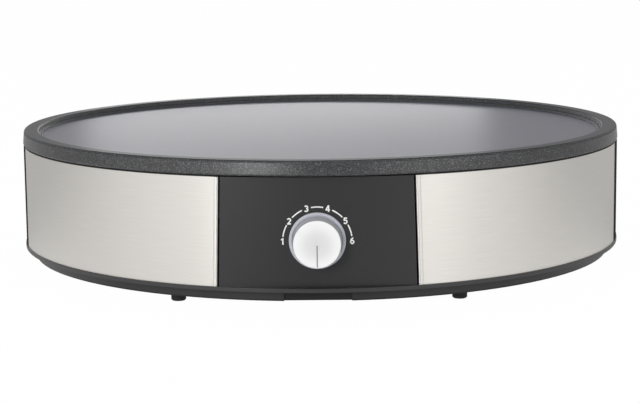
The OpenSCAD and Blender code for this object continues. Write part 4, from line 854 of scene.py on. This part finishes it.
groove_floor = cap_out - POINTER_DEPTH
cutter = capsule("pointer_cutter", POINTER_WIDTH / 2, POINTER_NEAR, cap_r - CAP_ROUND,
                 groove_floor, cap_out + 1 * MM, finishes["knob_face"], "knob_face")
groove = cap.modifiers.new("pointer_groove", "BOOLEAN")
groove.operation, groove.object = "DIFFERENCE", cutter
shapes = bpy.context.evaluated_depsgraph_get()
cut_mesh = bpy.data.meshes.new_from_object(cap.evaluated_get(shapes))
cap.modifiers.clear()
cap.data = cut_mesh
cut_mesh.set_sharp_from_angle(angle=GROOVE_SHARP)
bpy.data.objects.remove(cutter)
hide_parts("knob_cap")
# a dark strip on the groove's floor: painted shade that deepens the groove
capsule("pointer_shade_strip", POINTER_WIDTH / 2 - SHADE_STRIP, POINTER_NEAR + SHADE_STRIP,
        cap_r - CAP_ROUND - SHADE_STRIP, groove_floor, groove_floor + SHADE_STRIP,
        finishes["pointer_painted_shade"], "knob_grey")
print("cap with its groove:", len(cap.data.polygons), "faces")

# %% [markdown]
# ## The printed dial
# Six numbers stand upright round the knob with a curved stroke between each pair. A number is
# drawn the way a signwriter draws it: up to three strokes of constant width along a centre
# line. Each stroke becomes a thin ribbon laid on the curved face of the panel. Strokes of one
# number lie a hundredth of a millimetre apart in height, so that no two faces share a plane.


# %% Dial helpers
PANEL_BEND_R, PRINT_THICKNESS, LAYER = 370 * MM, 0.03 * MM, 0.01 * MM
DIAL_DROP = 0.4 * MM  # the dial's middle lies this far below the knob's axis
SHARPEST_MITRE = 0.5


def on_panel(x, z, lift):
    """A point of the panel's face at x and z from the dial's middle, lifted off it."""
    bend = PANEL_BEND_R - sqrt(PANEL_BEND_R ** 2 - x ** 2)
    return Vector((x, face_y + bend - lift, KNOB_HEIGHT - DIAL_DROP + z))


def bow(x, z, half_width, half_height, start, end, steps=16):
    """Points of an elliptic arc, angles in degrees from the right."""
    turns = [radians(start + (end - start) * i / steps) for i in range(steps + 1)]
    return [(x + half_width * cos(a), z + half_height * sin(a)) for a in turns]


def ribbon(path, width, base):
    """A flat stroke along a path of (x, z) points; base is the height it starts at."""
    points = [Vector(p) for p in path]
    verts = []
    for i, point in enumerate(points):
        near, far = points[max(i - 1, 0):i + 1], points[max(i, 1):i + 2]
        ways = [(b - a).normalized() for a, b in zip(near, far)]
        across = sum((Vector((-w.y, w.x)) for w in ways), Vector((0, 0))).normalized()
        mitre = across.dot(Vector((-ways[0].y, ways[0].x)))
        reach = width / 2 / max(SHARPEST_MITRE, mitre)
        first, second = point - across * reach, point + across * reach
        top = base + PRINT_THICKNESS
        verts += [on_panel(*first, base), on_panel(*second, base),
                  on_panel(*second, top), on_panel(*first, top)]
    last = len(verts) - 4
    faces = [(0, 1, 2, 3), (last, last + 1, last + 2, last + 3)]
    faces += [(i + k, i + (k + 1) % 4, i + 4 + (k + 1) % 4, i + 4 + k)
              for i in range(0, last, 4) for k in range(4)]
    return verts, faces


# %% Dial
DIAL_R, PEN, STROKE_WIDTH = 20.3 * MM, 0.82 * MM, 0.75 * MM
DIAL_STEP, STROKE_HALF_SPAN = 36, 10.2  # degrees
DIGIT_SIZE = 1.1 * MM
DIGITS = {
    1: [[(0.12, 1.78), (0.12, -1.78)], [(-0.78, 0.74), (0.12, 1.44)]],
    2: [bow(0, 0.62, 0.80, 0.80, 165, -35) + [(-0.72, -1.45)], [(-1.06, -1.42), (1.04, -1.42)]],
    3: [bow(-0.05, 0.72, 0.76, 0.70, 155, -90), bow(-0.05, -0.68, 0.86, 0.74, 90, -155)],
    4: [[(0.42, 1.78), (0.42, -1.78)], [(-1.24, -0.70), (1.14, -0.70)],
        [(0.36, 1.60), (-1.00, -0.66)]],
    5: [[(0.94, 1.42), (-0.52, 1.42), (-0.66, -0.02)],
        bow(-0.02, -0.52, 0.84, 0.90, 140, -150)],
    6: [bow(0, -0.56, 0.82, 0.86, 0, 360, 28), bow(0.62, -0.50, 1.42, 1.94, 88, 180)],
}
for digit, strokes in DIGITS.items():
    clock = (digit - 3.5) * radians(DIAL_STEP)
    middle = Vector((sin(clock), cos(clock))) * DIAL_R
    shells = [ribbon([middle + Vector(spot) * DIGIT_SIZE for spot in stroke], PEN, layer * LAYER)
              for layer, stroke in enumerate(strokes)]
    piece_from(f"dial_{digit}", *together(*shells), finishes["dial_print"], "knob_face")
print("dial with", len(DIGITS), "numbers")

# %% Strokes between the numbers
for stroke in range(1, len(DIGITS)):
    clock = 90 - (stroke - 3) * DIAL_STEP
    path = bow(0, 0, DIAL_R, DIAL_R, clock + STROKE_HALF_SPAN, clock - STROKE_HALF_SPAN, 12)
    piece_from(f"dial_stroke_{stroke}", *ribbon(path, STROKE_WIDTH, 0), finishes["dial_print"],
               "knob_face")
print(stroke, "strokes between them")
